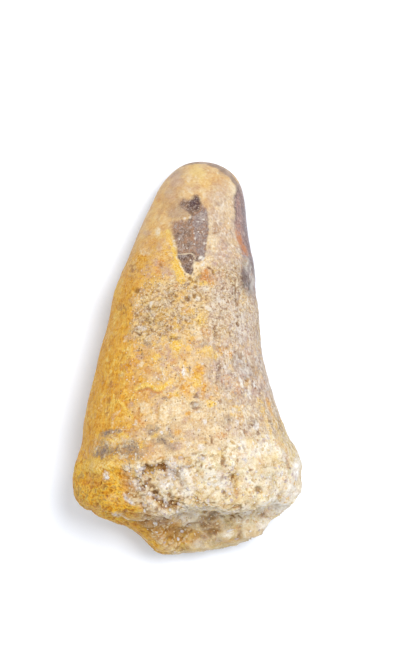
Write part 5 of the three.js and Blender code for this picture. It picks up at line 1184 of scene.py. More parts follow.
# The larger quartz grains, one by one: U, V, half length, half width, turn, kind.
QUARTZ = [
    (140, 469.4, 4.6, 3.2, -12, 0.1), (140, 476, 2.7, 2.4, 0, 0.1), (136.8, 483.4, 3.4, 2.4, 60, 0.1), (139.6, 488.6, 3.0, 2.2, 0, 0.1),
    (129, 467.6, 2.6, 1.9, 30, 0.1), (107, 476.6, 2.9, 3.1, 0, 0.1), (126.4, 497.4, 4.4, 2.0, 58, 0.2), (131.6, 502, 3.8, 2.0, 32, 0.1),
    (149.6, 493.6, 4.0, 1.9, 30, 0.1), (157.4, 497, 4.2, 2.2, 25, 0.2), (165.6, 501.6, 4.6, 2.2, 62, 0.1), (170, 461, 4.4, 2.6, 0, 0.1),
    (170.6, 467.4, 4.0, 2.9, 90, 0.1), (175, 464, 2.4, 1.8, 80, 0.1), (172.4, 478.4, 3.8, 2.6, -12, 0.1), (166, 483.8, 4.2, 2.0, -14, 0.1),
    (166.6, 488.4, 2.6, 1.9, 0, 0.1), (187, 466.8, 4.2, 1.7, -26, 0.1), (183.4, 471.4, 3.2, 2.1, 80, 0.1), (163.4, 511, 2.9, 2.1, 0, 0.1),
    (116.4, 514.6, 4.6, 2.5, 14, 0.2), (139, 513, 4.6, 2.3, 40, 0.5), (146.6, 473.6, 2.8, 1.8, 0, 0.5), (154.6, 472, 5.6, 2.6, 95, 0.3),
    (144, 505.6, 4.6, 2.0, 10, 0.2), (209.4, 464.6, 2.0, 1.7, 0, 0.1), (216, 459, 4.2, 2.1, -10, 0.3), (245, 460, 4.4, 2.6, 90, 0.1),
    (267, 504, 8.6, 1.7, -40, 0.2), (278, 511.4, 3.2, 1.9, 85, 0.1), (280, 473.4, 2.6, 1.5, 80, 0.1), (295.4, 477, 3.4, 3.0, 0, 0.1),
    (294.6, 483, 3.4, 2.8, 0, 0.3), (236.6, 512, 3.8, 1.5, -40, 0.3), (239.6, 520.6, 3.8, 1.7, 0, 0.3), (229, 480, 3.4, 2.4, 90, 0.3),
    (144.6, 328.4, 2.6, 1.7, 0, 0.1), (197.4, 299, 2.2, 1.9, 0, 0.1), (151.2, 303.6, 2.2, 1.5, 80, 0.1), (161.6, 432.4, 1.7, 1.5, 0, 0.1),
    (267, 437, 2.6, 1.8, 80, 0.1), (183.8, 317.6, 1.5, 1.3, 0, 0.1), (223, 497, 3.2, 2.0, 0, 0.3),
    (196, 481, 3.4, 2.4, 30, 0.3), (254, 480, 3.8, 2.6, -20, 0.3), (262, 476, 3.0, 2.4, 0, 0.1), (243, 496, 3.6, 2.4, 15, 0.3),
    (233, 468, 3.0, 2.0, 60, 0.1), (192, 497, 3.2, 2.6, 0, 0.3), (178, 489, 3.0, 2.2, 20, 0.1), (205, 488, 3.0, 2.4, 0, 0.3),
]
bits = []
for qu, qv, a, b, turn, kind in QUARTZ:
    best = None
    for c, q, o, k in skins:
        near = (np.hypot(k["u"] - qu, k["v"] - qv) < 1.6) & (k["seen"] > 0.5)
        near &= (k["edge"] > 2) if o == "crust" else (k["edge"] <= 2)
        if near.any() and best is None:
            best = (c[near].mean(0), q[near].mean(0))
    if best is None:
        continue
    where, facing = best
    facing = facing / np.linalg.norm(facing)
    t = math.radians(turn)
    x = np.array([math.cos(t), -math.sin(t), 0.0])
    x -= facing * (x @ facing)
    x /= np.linalg.norm(x)
    y = np.cross(facing, x)
    many = 3 + int(round(0.9 * a * b / 3))
    for number in range(min(many, 9)):
        way, far = lots.uniform(0, 2 * math.pi), math.sqrt(lots.random()) * (number > 0)
        r = 0.1012 * b * lots.uniform(0.42, 0.78)
        place = where + 0.1012 * far * (0.85 * a * math.cos(way) * x + 0.8 * b * math.sin(way) * y)
        bits.append((*(place - facing * r * lots.uniform(0.1, 0.5) * (1 if qv > 450 else 2)), r,
                     kind if lots.random() < 0.75 else (0.1, 0.2, 0.3)[int(lots.integers(3))]))
bits = np.array(bits)
n = len(bits)
stretch = np.stack([lots.uniform(0.9, 1.45, n), lots.uniform(0.75, 1.05, n), lots.uniform(0.6, 0.9, n)], 1)
quartz = heap("quartz_grains", bits[:, :3], bits[:, 3], bits[:, 4], lots.random(n), pebbles(1, 40, 1.0), stretch, turned(n))
print("quartz", n)

# ---------------------------------------------------------------- materials
class Nodes:
    def __init__(self, name):
        self.mat = bpy.data.materials.new(name)
        self.mat.use_nodes = True
        self.t = self.mat.node_tree
        self.shader = self.t.nodes["Principled BSDF"]
        coord = self.t.nodes.new("ShaderNodeTexCoord")
        scale = self.t.nodes.new("ShaderNodeVectorMath")
        scale.operation = "SCALE"
        scale.inputs["Scale"].default_value = MM
        self.t.links.new(coord.outputs["Object"], scale.inputs[0])
        self.p = scale.outputs[0]

    def link(self, value, socket):
        if hasattr(value, "is_linked") or isinstance(value, bpy.types.NodeSocket):
            self.t.links.new(value, socket)
        elif isinstance(value, (tuple, list)) and len(value) == 3:
            socket.default_value = (*value, 1.0) if len(socket.default_value) == 4 else value
        else:
            socket.default_value = value

    def attr(self, name):
        n = self.t.nodes.new("ShaderNodeAttribute")
        n.attribute_name = name
        return n.outputs["Fac"]

    def math(self, op, a, b=0.0, c=0.0, clamp=False):
        n = self.t.nodes.new("ShaderNodeMath")
        n.operation, n.use_clamp = op, clamp
        for value, socket in zip((a, b, c), n.inputs):
            self.link(value, socket)
        return n.outputs[0]

    def mul(self, a, b):
        return self.math("MULTIPLY", a, b)

    def add(self, a, b):
        return self.math("ADD", a, b)

    def place(self, scale, move=(0, 0, 0)):
        n = self.t.nodes.new("ShaderNodeMapping")
        n.inputs["Scale"].default_value = scale if isinstance(scale, tuple) else (scale,) * 3
        n.inputs["Location"].default_value = move
        self.t.links.new(self.p, n.inputs["Vector"])
        return n.outputs[0]

    def noise(self, scale, detail=3.0, rough=0.55, bend=0.0, move=(0, 0, 0)):
        n = self.t.nodes.new("ShaderNodeTexNoise")
        n.inputs["Scale"].default_value = 1.0
        n.inputs["Detail"].default_value = detail
        n.inputs["Roughness"].default_value = rough
        n.inputs["Distortion"].default_value = bend
        self.t.links.new(self.place(scale, move), n.inputs["Vector"])
        return n.outputs["Fac"]

    def noises(self, scale, detail=3.0, rough=0.55, bend=0.0, move=(0, 0, 0)):
        """Three unrelated noises from one node."""
        n = self.t.nodes.new("ShaderNodeTexNoise")
        n.inputs["Scale"].default_value = 1.0
        n.inputs["Detail"].default_value = detail
        n.inputs["Roughness"].default_value = rough
        n.inputs["Distortion"].default_value = bend
        self.t.links.new(self.place(scale, move), n.inputs["Vector"])
        s = self.t.nodes.new("ShaderNodeSeparateColor")
        self.t.links.new(n.outputs["Color"], s.inputs[0])
        return s.outputs[0], s.outputs[1], s.outputs[2]

    def tiles(self, scale, wander, move=(0, 0, 0)):
        """Small patches with ragged outlines: three numbers drawn for each."""
        n = self.t.nodes.new("ShaderNodeTexNoise")
        n.inputs["Scale"].default_value = 1.0
        n.inputs["Detail"].default_value = 2.0
        self.t.links.new(self.place(scale * 1.7), n.inputs["Vector"])
        k = self.t.nodes.new("ShaderNodeVectorMath")
        k.operation = "MULTIPLY_ADD"
        self.t.links.new(n.outputs["Color"], k.inputs[0])
        k.inputs[1].default_value = (wander * 4,) * 3
        self.t.links.new(self.place(scale, move), k.inputs[2])
        v = self.t.nodes.new("ShaderNodeTexVoronoi")
        v.inputs["Scale"].default_value = 1.0
        self.t.links.new(k.outputs[0], v.inputs["Vector"])
        s = self.t.nodes.new("ShaderNodeSeparateColor")
        self.t.links.new(v.outputs["Color"], s.inputs[0])
        return s.outputs[0], s.outputs[1], s.outputs[2]

    def blend(self, *parts):
        """Sum of (share, value) pairs."""
        total = None
        for share, value in parts:
            term = self.math("MULTIPLY", value, share)
            total = term if total is None else self.math("ADD", total, term)
        return total

    def voronoi(self, scale, what="Distance", feature="F1", move=(0, 0, 0), random=1.0):
        n = self.t.nodes.new("ShaderNodeTexVoronoi")
        n.feature = feature
        n.inputs["Scale"].default_value = 1.0
        n.inputs["Randomness"].default_value = random
        self.t.links.new(self.place(scale, move), n.inputs["Vector"])
        return n.outputs[what]

    def span(self, value, lo, hi, to_lo=0.0, to_hi=1.0, kind="SMOOTHSTEP"):
        n = self.t.nodes.new("ShaderNodeMapRange")
        n.interpolation_type = kind
        self.link(value, n.inputs["Value"])
        for key, x in (("From Min", lo), ("From Max", hi), ("To Min", to_lo), ("To Max", to_hi)):
            n.inputs[key].default_value = x
        return n.outputs["Result"]

    def ramp(self, value, stops, constant=False):
        n = self.t.nodes.new("ShaderNodeValToRGB")
        r = n.color_ramp
        r.interpolation = "CONSTANT" if constant else "LINEAR"
        while len(r.elements) < len(stops):
            r.elements.new(0.5)
        for e, (where, colour) in zip(r.elements, stops):
            e.position, e.color = where, colour
        self.link(value, n.inputs["Fac"])
        return n.outputs["Color"]

    def mix(self, fac, a, b, mode="MIX"):
        n = self.t.nodes.new("ShaderNodeMix")
        n.data_type, n.blend_type, n.clamp_factor = "RGBA", mode, True
        self.link(fac, n.inputs[0])
        self.link(a, n.inputs[6])
        self.link(b, n.inputs[7])
        return n.outputs[2]

    def sep(self, colour):
        n = self.t.nodes.new("ShaderNodeSeparateColor")
        self.link(colour, n.inputs[0])
        return n.outputs[0]

    def bump(self, height, metres, normal=None, strength=1.0):
        n = self.t.nodes.new("ShaderNodeBump")
        n.inputs["Strength"].default_value = strength
        n.inputs["Distance"].default_value = metres
        self.link(height, n.inputs["Height"])
        if normal is not None:
            self.t.links.new(normal, n.inputs["Normal"])
        return n.outputs["Normal"]

    def out(self, **sockets):
        for key, value in sockets.items():
            self.link(value, self.shader.inputs[key.replace("_", " ")])



def skin_material():
    m = Nodes("fossil_skin")
    names = (*KINDS, "low", "amber", "drab", "rough", "gritty", "tip", "fibre", "bare", "window", "window_part", "strip",
             "strip_part", "pits", "hollow", "sandy", "up", "lot", "lot3", "grainy", "shade", "grain_lines",
             "pale_sand", "ledge")
    A = {k: m.attr(k) for k in names}
    big = m.noises(0.33, 2.0, 0.5)
    mid = m.noises(0.85, 2.0, 0.55, 0.3)
    sm = m.noises(1.9, 2.0, 0.55, 0.4)
    fi = m.noises(4.2, 2.0, 0.6)
    vf = m.noises(9.0, 2.0, 0.6)
    lines = m.noises((6.0, 0.5, 6.0), 2.0, 0.5)
    tile = m.tiles(1.9, 0.55)
    chip = m.tiles(3.9, 0.3, (3, 7, 5))
    busy = m.mul(m.span(A["tip"], 0.0, 1.0, 1.0, 0.22), m.span(A["amber"], 0.3, 1.0, 1.0, 0.4))

    def ramp(value, lo, hi, *stops):
        return m.ramp(m.span(value, lo, hi, kind="LINEAR"), list(stops))

    def even(value, share):
        return m.math("MULTIPLY", m.math("SUBTRACT", value, 0.5), share)

    # Worn dentine, tan in the middle, amber to the left and drab to the right.
    t = m.math("ADD", m.blend((0.34, mid[0]), (0.40, sm[0]), (0.26, fi[0])), even(chip[0], 0.07))
    colour = ramp(t, 0.40, 0.61, (0.0, seen_as(202, 146, 90)), (0.28, seen_as(226, 178, 116)), (0.52, seen_as(238, 198, 138)),
                  (0.78, seen_as(248, 218, 164)), (1.0, seen_as(253, 234, 196)))
    for value, lo, hi, share, tint in (
        (m.blend((0.4, big[1]), (0.6, mid[1])), 0.50, 0.555, 0.72, seen_as(246, 192, 98)),
        (m.blend((0.5, mid[2]), (0.5, sm[1])), 0.515, 0.56, 0.68, seen_as(208, 168, 148)),
        (m.blend((0.4, mid[1]), (0.6, sm[2])), 0.53, 0.57, 0.66, seen_as(254, 210, 122)),
        (m.blend((0.3, big[2]), (0.7, sm[0])), 0.545, 0.60, 0.55, seen_as(196, 172, 146)),
        (m.blend((0.5, mid[0]), (0.5, sm[2])), 0.485, 0.44, 0.5, seen_as(252, 230, 188)),
    ):
        colour = m.mix(m.mul(m.mul(m.span(value, lo, hi), share), busy), colour, tint)
    t = m.math("ADD", m.blend((0.24, lines[1]), (0.42, sm[2]), (0.34, fi[1])), even(chip[1], 0.07))
    drab = ramp(t, 0.41, 0.61, (0.0, seen_as(166, 144, 134)), (0.3, seen_as(206, 189, 176)), (0.62, seen_as(229, 215, 199)),
                (1.0, seen_as(247, 237, 224)))
    drab = m.mix(m.mul(m.span(m.blend((0.5, mid[0]), (0.5, sm[1])), 0.50, 0.56), 0.7), drab, seen_as(188, 168, 168))
    drab = m.mix(m.mul(m.span(m.blend((0.5, mid[1]), (0.5, sm[0])), 0.53, 0.58), 0.55), drab, seen_as(238, 210, 162))
    drab = m.mix(m.mul(m.span(m.blend((0.5, sm[2]), (0.5, fi[2])), 0.54, 0.60), 0.6), drab, seen_as(216, 178, 150))
    colour = m.mix(m.mul(A["drab"], m.span(mid[2], 0.36, 0.52, 0.7, 1.0)), colour, drab)
    cream = ramp(t, 0.41, 0.61, (0.0, seen_as(218, 188, 150)), (0.4, seen_as(242, 218, 178)), (1.0, seen_as(256, 243, 210)))
    colour = m.mix(m.mul(A["low"], m.span(m.blend((0.5, mid[1]), (0.5, sm[0])), 0.40, 0.56, 0.35, 0.85)), colour, cream)
    # Chips of other tints.
    pick = m.mul(m.span(chip[2], 0.82, 0.86), m.mul(busy, 0.45))
    colour = m.mix(pick, colour, ramp(chip[0], 0.0, 1.0, (0.0, seen_as(250, 232, 200)), (0.35, seen_as(255, 214, 130)),
                                      (0.6, seen_as(214, 186, 168)), (0.8, seen_as(206, 158, 108)), (1.0, seen_as(252, 240, 220))))
    pick = m.mul(m.span(tile[2], 0.78, 0.84), m.mul(busy, 0.4))
    colour = m.mix(pick, colour, ramp(tile[1], 0.0, 1.0, (0.0, seen_as(252, 236, 206)), (0.4, seen_as(246, 196, 112)),
                                      (0.7, seen_as(196, 164, 146)), (1.0, seen_as(226, 178, 128))))
    t = m.math("ADD", m.blend((0.26, lines[0]), (0.34, sm[1]), (0.28, mid[0]), (0.12, fi[0])), even(tile[0], 0.03))
    amber = ramp(t, 0.41, 0.61, (0.0, seen_as(208, 138, 40)), (0.30, seen_as(236, 172, 62)), (0.62, seen_as(248, 192, 80)),
                 (0.85, seen_as(253, 209, 106)), (1.0, seen_as(255, 224, 140)))
    amber = m.mix(m.mul(m.span(m.blend((0.5, mid[2]), (0.5, sm[0])), 0.52, 0.58), 0.5), amber, seen_as(240, 164, 38))
    amber = m.mix(m.mul(m.span(m.blend((0.5, mid[1]), (0.5, sm[2])), 0.55, 0.61), 0.4), amber, seen_as(232, 190, 110))
    amber = m.mix(m.mul(m.span(m.blend((0.5, fi[1]), (0.5, fi[2])), 0.56, 0.62), 0.4), amber, seen_as(176, 112, 30))
    colour = m.mix(m.mul(A["amber"], m.span(mid[1], 0.36, 0.52, 0.88, 1.0)), colour, amber)

    # Stains, and the painted highlight, glints and shade placed among them, broken up at their edges.
    kinds = {
        "brown": (seen_as(154, 106, 68), seen_as(196, 146, 98)), "mauve": (seen_as(186, 150, 142), seen_as(220, 188, 172)),
        "grey": (seen_as(140, 120, 104), seen_as(184, 162, 138)), "rust": (seen_as(200, 120, 54), seen_as(230, 160, 90)),
        "gold": (seen_as(226, 152, 42), seen_as(248, 192, 82)), "yellow": (seen_as(248, 188, 70), seen_as(255, 224, 128)),
        "pale": (seen_as(246, 214, 164), seen_as(255, 238, 204)), "dusk": (seen_as(112, 86, 80), seen_as(164, 138, 130)),
        "white": (seen_as(238, 226, 216), seen_as(255, 253, 248)),
    }
    frays = m.span(A["tip"], 0.0, 1.0, 1.0, 0.35)
    for number, kind in enumerate(KINDS):
        n1, n2 = (sm, fi)[number % 2], (fi, vf)[number % 2]
        torn = m.blend((0.6, n1[number % 3]), (0.4, n2[(number + 1) % 3]))
        frayed = m.mul(m.span(torn, 0.38, 0.62, -0.30, 0.30, "LINEAR"), frays)
        share = m.span(m.math("ADD", A[kind], frayed), 0.10, 0.85, kind="LINEAR")
        share = m.mul(share, m.span(A[kind], 0.0, 0.12))
        tone = m.math("ADD", m.mul(n2[number % 3], frays), m.mul(mid[(number + 2) % 3], m.math("SUBTRACT", 1.0, frays)))
        tint = m.mix(m.span(tone, 0.42, 0.58), *kinds[kind])
        colour = m.mix(share, colour, tint)

    colour = m.mix(m.mul(A["tip"], 0.3), colour, seen_as(222, 196, 162))
    # Grit: small dark and pale specks, many in the rough band, fewer on the stained plates.
    plate = m.math("MAXIMUM", m.math("MAXIMUM", A["white"], A["pale"]), m.math("MAXIMUM", A["rust"], A["yellow"]))
    plate = m.math("SUBTRACT", 1.0, m.mul(m.span(plate, 0.15, 0.75), 0.68))
    A["rough"], A["gritty"] = m.mul(A["rough"], plate), m.mul(A["gritty"], plate)
    spread = m.span(m.blend((0.5, mid[1]), (0.5, sm[0])), 0.42, 0.56)
    dot = m.span(m.voronoi(4.4), 0.46, 0.20)
    draw = m.t.nodes.new("ShaderNodeSeparateColor")
    m.t.links.new(m.voronoi(4.4, "Color"), draw.inputs[0])
    often = m.math("ADD", m.mul(m.blend((0.75, A["rough"]), (0.18, A["gritty"])), spread), m.mul(busy, 0.03))
    dark = m.mul(m.span(m.math("SUBTRACT", often, draw.outputs[0]), 0.0, 0.05), dot)
    light = m.mul(m.span(m.math("SUBTRACT", m.math("MULTIPLY", often, 1.2), draw.outputs[1]), 0.0, 0.05), dot)
    colour = m.mix(m.mul(light, 0.85), colour, m.mix(m.span(fi[0], 0.45, 0.6), seen_as(240, 228, 218), seen_as(255, 244, 222)))
    colour = m.mix(m.mul(dark, 0.85), colour, m.mix(m.span(fi[1], 0.42, 0.58), seen_as(98, 68, 50), seen_as(156, 112, 72)))
    fleck = m.span(m.voronoi(6.2, move=(4, 1, 7)), 0.42, 0.18)
    which = m.t.nodes.new("ShaderNodeSeparateColor")
    m.t.links.new(m.voronoi(6.2, "Color", move=(4, 1, 7)), which.inputs[0])
    often = m.mul(m.blend((0.34, A["rough"]), (0.10, A["gritty"])), m.span(m.blend((0.6, mid[2]), (0.4, sm[1])), 0.44, 0.56, 0.3, 1.0))
    dark = m.mul(m.span(m.math("SUBTRACT", often, which.outputs[0]), 0.0, 0.05), fleck)
    light = m.mul(m.span(m.math("SUBTRACT", often, which.outputs[1]), 0.0, 0.05), fleck)
    colour = m.mix(m.mul(light, 0.8), colour, seen_as(255, 246, 228))
    colour = m.mix(m.mul(dark, 0.8), colour, seen_as(112, 80, 52))
    clump = m.mul(m.span(m.blend((0.6, sm[0]), (0.4, fi[2])), 0.51, 0.56), m.span(m.blend((0.5, big[0]), (0.5, mid[0])), 0.44, 0.54, 0.25, 1.0))
    colour = m.mix(m.mul(m.mul(A["rough"], clump), 0.4), colour, seen_as(164, 130, 96))
    clump = m.mul(m.span(m.blend((0.4, sm[2]), (0.6, fi[1])), 0.53, 0.58), m.span(m.blend((0.5, big[1]), (0.5, mid[1])), 0.44, 0.54, 0.25, 1.0))
    colour = m.mix(m.mul(m.mul(A["rough"], clump), 0.55), colour, seen_as(116, 86, 62))
    clump = m.mul(m.span(m.blend((0.4, sm[1]), (0.6, fi[0])), 0.53, 0.58), m.span(m.blend((0.5, big[2]), (0.5, mid[2])), 0.44, 0.54, 0.25, 1.0))
    colour = m.mix(m.mul(m.mul(A["rough"], clump), 0.6), colour, seen_as(250, 232, 206))
    tawny = m.mul(A["rough"], m.math("SUBTRACT", 1.0, A["drab"]))
    colour = m.mix(m.mul(m.mul(tawny, m.span(m.blend((0.4, mid[0]), (0.6, sm[2])), 0.50, 0.55)), 0.62), colour, seen_as(238, 186, 86))
    colour = m.mix(m.mul(m.mul(tawny, m.span(m.blend((0.5, mid[1]), (0.5, sm[1])), 0.52, 0.57)), 0.42), colour, seen_as(188, 156, 108))
    colour = m.mix(m.mul(m.mul(tawny, m.span(m.blend((0.7, sm[0]), (0.3, fi[0])), 0.56, 0.61)), 0.65), colour, seen_as(130, 88, 52))
    colour = m.mix(m.mul(m.mul(tawny, m.span(m.blend((0.6, mid[2]), (0.4, sm[0])), 0.48, 0.43)), 0.5), colour, seen_as(252, 222, 162))
    colour = m.mix(m.mul(m.mul(A["drab"], m.span(m.blend((0.6, lines[2]), (0.4, sm[0])), 0.53, 0.58)), 0.45), colour, seen_as(176, 158, 156))
    colour = m.mix(m.mul(m.mul(A["drab"], m.span(m.blend((0.6, lines[1]), (0.4, sm[2])), 0.54, 0.59)), 0.5), colour, seen_as(250, 242, 230))
    gritty = m.blend((0.8, A["rough"]), (0.2, A["gritty"]))
    crumb = m.tiles(5.2, 0.25, (8, 2, 6))
    mixed = ramp(crumb[0], 0.0, 1.0, (0.0, seen_as(120, 86, 58)), (0.2, seen_as(180, 144, 92)), (0.4, seen_as(236, 200, 128)),
                 (0.6, seen_as(206, 176, 158)), (0.8, seen_as(246, 226, 190)), (1.0, seen_as(255, 248, 234)))
    colour = m.mix(m.mul(m.mul(gritty, m.span(crumb[1], 0.25, 0.45)), m.mul(spread, 0.52)), colour, mixed)
    crisp = m.blend((0.5, fi[2]), (0.5, vf[0]))
    keen = m.mul(busy, m.span(A["rough"], 0.0, 0.8, 0.8, 1.7))
    colour = m.mix(m.mul(m.mul(m.span(crisp, 0.545, 0.61), 0.42), keen), colour, seen_as(172, 132, 98))
    colour = m.mix(m.mul(m.mul(m.span(crisp, 0.455, 0.39), 0.45), keen), colour, seen_as(255, 236, 200))

    # The sandy crust: darker low down and cream and white on the grains, which is partly dirt and partly painted shade.
    t = m.blend((0.62, A["up"]), (0.34, sm[0]), (0.26, fi[0]), (0.10, vf[0]))
    lo, hi = 0.42, 1.0
    left = ramp(t, lo, hi, (0.0, seen_as(124, 84, 44)), (0.16, seen_as(198, 154, 98)), (0.32, seen_as(242, 210, 156)),
                (0.50, seen_as(258, 241, 204)), (0.72, seen_as(268, 259, 238)), (1.0, seen_as(270, 268, 262)))
    right = ramp(t, lo, hi, (0.0, seen_as(176, 132, 80)), (0.16, seen_as(230, 198, 148)), (0.32, seen_as(252, 234, 194)),
                 (0.52, seen_as(262, 252, 220)), (0.76, seen_as(268, 262, 246)), (1.0, seen_as(270, 268, 266)))
    shelf = ramp(t, lo, hi, (0.0, seen_as(132, 94, 40)), (0.22, seen_as(178, 138, 74)), (0.5, seen_as(218, 184, 118)),
                 (0.8, seen_as(245, 223, 167)), (1.0, seen_as(255, 244, 212)))
    low_left = ramp(t, lo, hi, (0.0, seen_as(110, 74, 22)), (0.25, seen_as(160, 116, 42)), (0.5, seen_as(206, 160, 74)),
                    (0.8, seen_as(236, 196, 112)), (1.0, seen_as(252, 230, 170)))
    shelf = m.mix(m.span(A["pale_sand"], 0.0, 0.2), low_left, shelf)
    sand = m.mix(A["pale_sand"], left, right)
    sand = m.mix(m.mul(A["ledge"], 0.85), sand, shelf)
    for value, lo, hi, share, tint in (
        (m.blend((0.5, mid[1]), (0.5, sm[2])), 0.52, 0.58, 0.6, seen_as(248, 218, 146)),
        (m.blend((0.5, mid[2]), (0.5, sm[1])), 0.53, 0.59, 0.55, seen_as(226, 206, 192)),
        (m.blend((0.5, mid[0]), (0.5, sm[0])), 0.475, 0.42, 0.45, seen_as(206, 188, 138)),
        (m.blend((0.5, sm[1]), (0.5, fi[2])), 0.55, 0.61, 0.6, seen_as(224, 164, 90)),
    ):
        sand = m.mix(m.mul(m.span(value, lo, hi), share), sand, tint)
    proud = m.span(A["up"], 0.35, 0.65)
    for lot, places in (
        ("lot", ((0.00, 0.12, seen_as(246, 238, 230), 0.75), (0.14, 0.20, seen_as(218, 200, 196), 0.6),
                 (0.22, 0.28, seen_as(232, 180, 104), 0.5), (0.34, 0.38, seen_as(188, 142, 88), 0.4),
                 (0.60, 0.68, seen_as(255, 242, 210), 0.6), (0.80, 0.85, seen_as(206, 194, 160), 0.5))),
        ("lot3", ((0.00, 0.10, seen_as(254, 248, 238), 0.7), (0.14, 0.19, seen_as(170, 124, 74), 0.45),
                  (0.30, 0.37, seen_as(238, 190, 116), 0.5), (0.50, 0.56, seen_as(214, 200, 198), 0.55),
                  (0.70, 0.78, seen_as(255, 244, 214), 0.6))),
    ):
        for low, high, tint, share in places:
            here = m.span(A[lot], high + 0.01, high - 0.01)
            if low > 0:
                here = m.mul(here, m.span(A[lot], low - 0.01, low + 0.01))
            gate = m.mul(m.span(A["grainy"], 0.1, 0.6, 0.4, 1.0), proud)
            sand = m.mix(m.mul(m.mul(here, share), gate), sand, tint)
    sand = m.mix(m.mul(m.span(fi[1], 0.57, 0.66), 0.4), sand, seen_as(176, 130, 80))
    sand = m.mix(m.mul(m.span(vf[1], 0.56, 0.66), 0.45), sand, seen_as(255, 250, 236))
    for kind, share in (("rust", 0.75), ("gold", 0.75), ("yellow", 0.8), ("brown", 0.72), ("grey", 0.5), ("dusk", 0.74),
                        ("mauve", 0.7), ("pale", 0.92), ("white", 0.95)):
        torn = m.span(fi[0], 0.38, 0.58, 0.5, 1.0)
        pair = (seen_as(246, 236, 228), seen_as(276, 274, 270)) if kind == "white" else kinds[kind]
        sand = m.mix(m.mul(m.mul(A[kind], share), torn), sand, m.mix(m.span(sm[2], 0.42, 0.58), *pair))
    dark_gold = m.mul(m.mul(A["ledge"], m.span(A["pale_sand"], 0.14, 0.0)), 0.85)
    sand = m.mix(dark_gold, sand, (0.86, 0.76, 0.50, 1), "MULTIPLY")
    sand = m.mix(m.mul(A["shade"], 0.1), sand, seen_as(160, 130, 84))
    colour = m.mix(A["sandy"], colour, sand)

    # The bare wall: amber, with fibres.
    t = m.blend((0.46, A["grain_lines"]), (0.34, sm[1]), (0.2, fi[2]))
    wall = ramp(t, 0.30, 0.66, (0.0, seen_as(192, 122, 20)), (0.28, seen_as(228, 158, 36)), (0.55, seen_as(248, 190, 58)),
                (0.8, seen_as(254, 212, 88)), (1.0, seen_as(255, 230, 136)))
    wall = m.mix(m.mul(m.span(m.blend((0.5, mid[0]), (0.5, sm[2])), 0.51, 0.57), 0.5), wall, seen_as(246, 172, 56))
    wall = m.mix(m.mul(m.span(m.blend((0.5, mid[1]), (0.5, sm[0])), 0.51, 0.57), 0.6), wall, seen_as(255, 212, 100))
    wall = m.mix(m.mul(m.span(m.blend((0.5, fi[0]), (0.5, vf[1])), 0.53, 0.59), 0.7), wall, seen_as(150, 100, 34))
    wall = m.mix(m.mul(m.span(A["grain_lines"], 0.66, 0.84), 0.4), wall, seen_as(184, 112, 22))
    for kind, share in (("yellow", 0.85), ("gold", 0.6), ("rust", 0.7), ("brown", 0.6), ("grey", 0.6), ("pale", 0.7),
                        ("mauve", 0.5), ("white", 0.9)):
        torn = m.span(fi[1], 0.38, 0.58, 0.5, 1.0)
        wall = m.mix(m.mul(m.mul(A[kind], share), torn), wall, m.mix(m.span(fi[1], 0.42, 0.58), *kinds[kind]))
    colour = m.mix(A["fibre"], colour, wall)
    t = m.blend((0.5, lines[2]), (0.3, fi[0]), (0.2, sm[1]))
    strip = ramp(t, 0.40, 0.60, (0.0, seen_as(150, 124, 90)), (0.25, seen_as(212, 184, 128)), (0.5, seen_as(238, 214, 150)),
                 (0.75, seen_as(250, 234, 190)), (1.0, seen_as(255, 248, 230)))
    strip = m.mix(m.mul(m.span(m.blend((0.5, lines[0]), (0.5, sm[0])), 0.51, 0.56), 0.6), strip, seen_as(226, 210, 200))
    colour = m.mix(m.mul(A["bare"], m.span(m.blend((0.5, sm[2]), (0.5, fi[2])), 0.42, 0.54, 0.9, 0.35)), colour, strip)

    # Hollows and pits are darkened, partly dirt and partly painted shade, and proud edges are lightened, partly rubbed
    # wear and partly painted highlight.
    deep = m.math("SUBTRACT", 0.5, m.mul(A["sandy"], 0.18))
    golden = m.math("MAXIMUM", A["fibre"], m.mul(A["amber"], m.math("SUBTRACT", 1.0, A["sandy"])))
    colour = m.mix(m.mul(m.span(A["hollow"], 0.10, 0.95), deep), colour,
                   m.mix(golden, seen_as(156, 112, 66), seen_as(168, 112, 30)))
    colour = m.mix(m.mul(m.span(A["hollow"], -0.12, -0.9), 0.5), colour,
                   m.mix(golden, seen_as(255, 242, 212), seen_as(255, 210, 104)))
    pit = ramp(fi[0], 0.4, 0.6, (0.0, seen_as(112, 76, 44)), (1.0, seen_as(176, 130, 78)))
    pit = m.mix(A["fibre"], pit, ramp(fi[1], 0.4, 0.6, (0.0, seen_as(140, 78, 16)), (1.0, seen_as(204, 132, 40))))
    colour = m.mix(m.mul(A["pits"], 0.72), colour, pit)

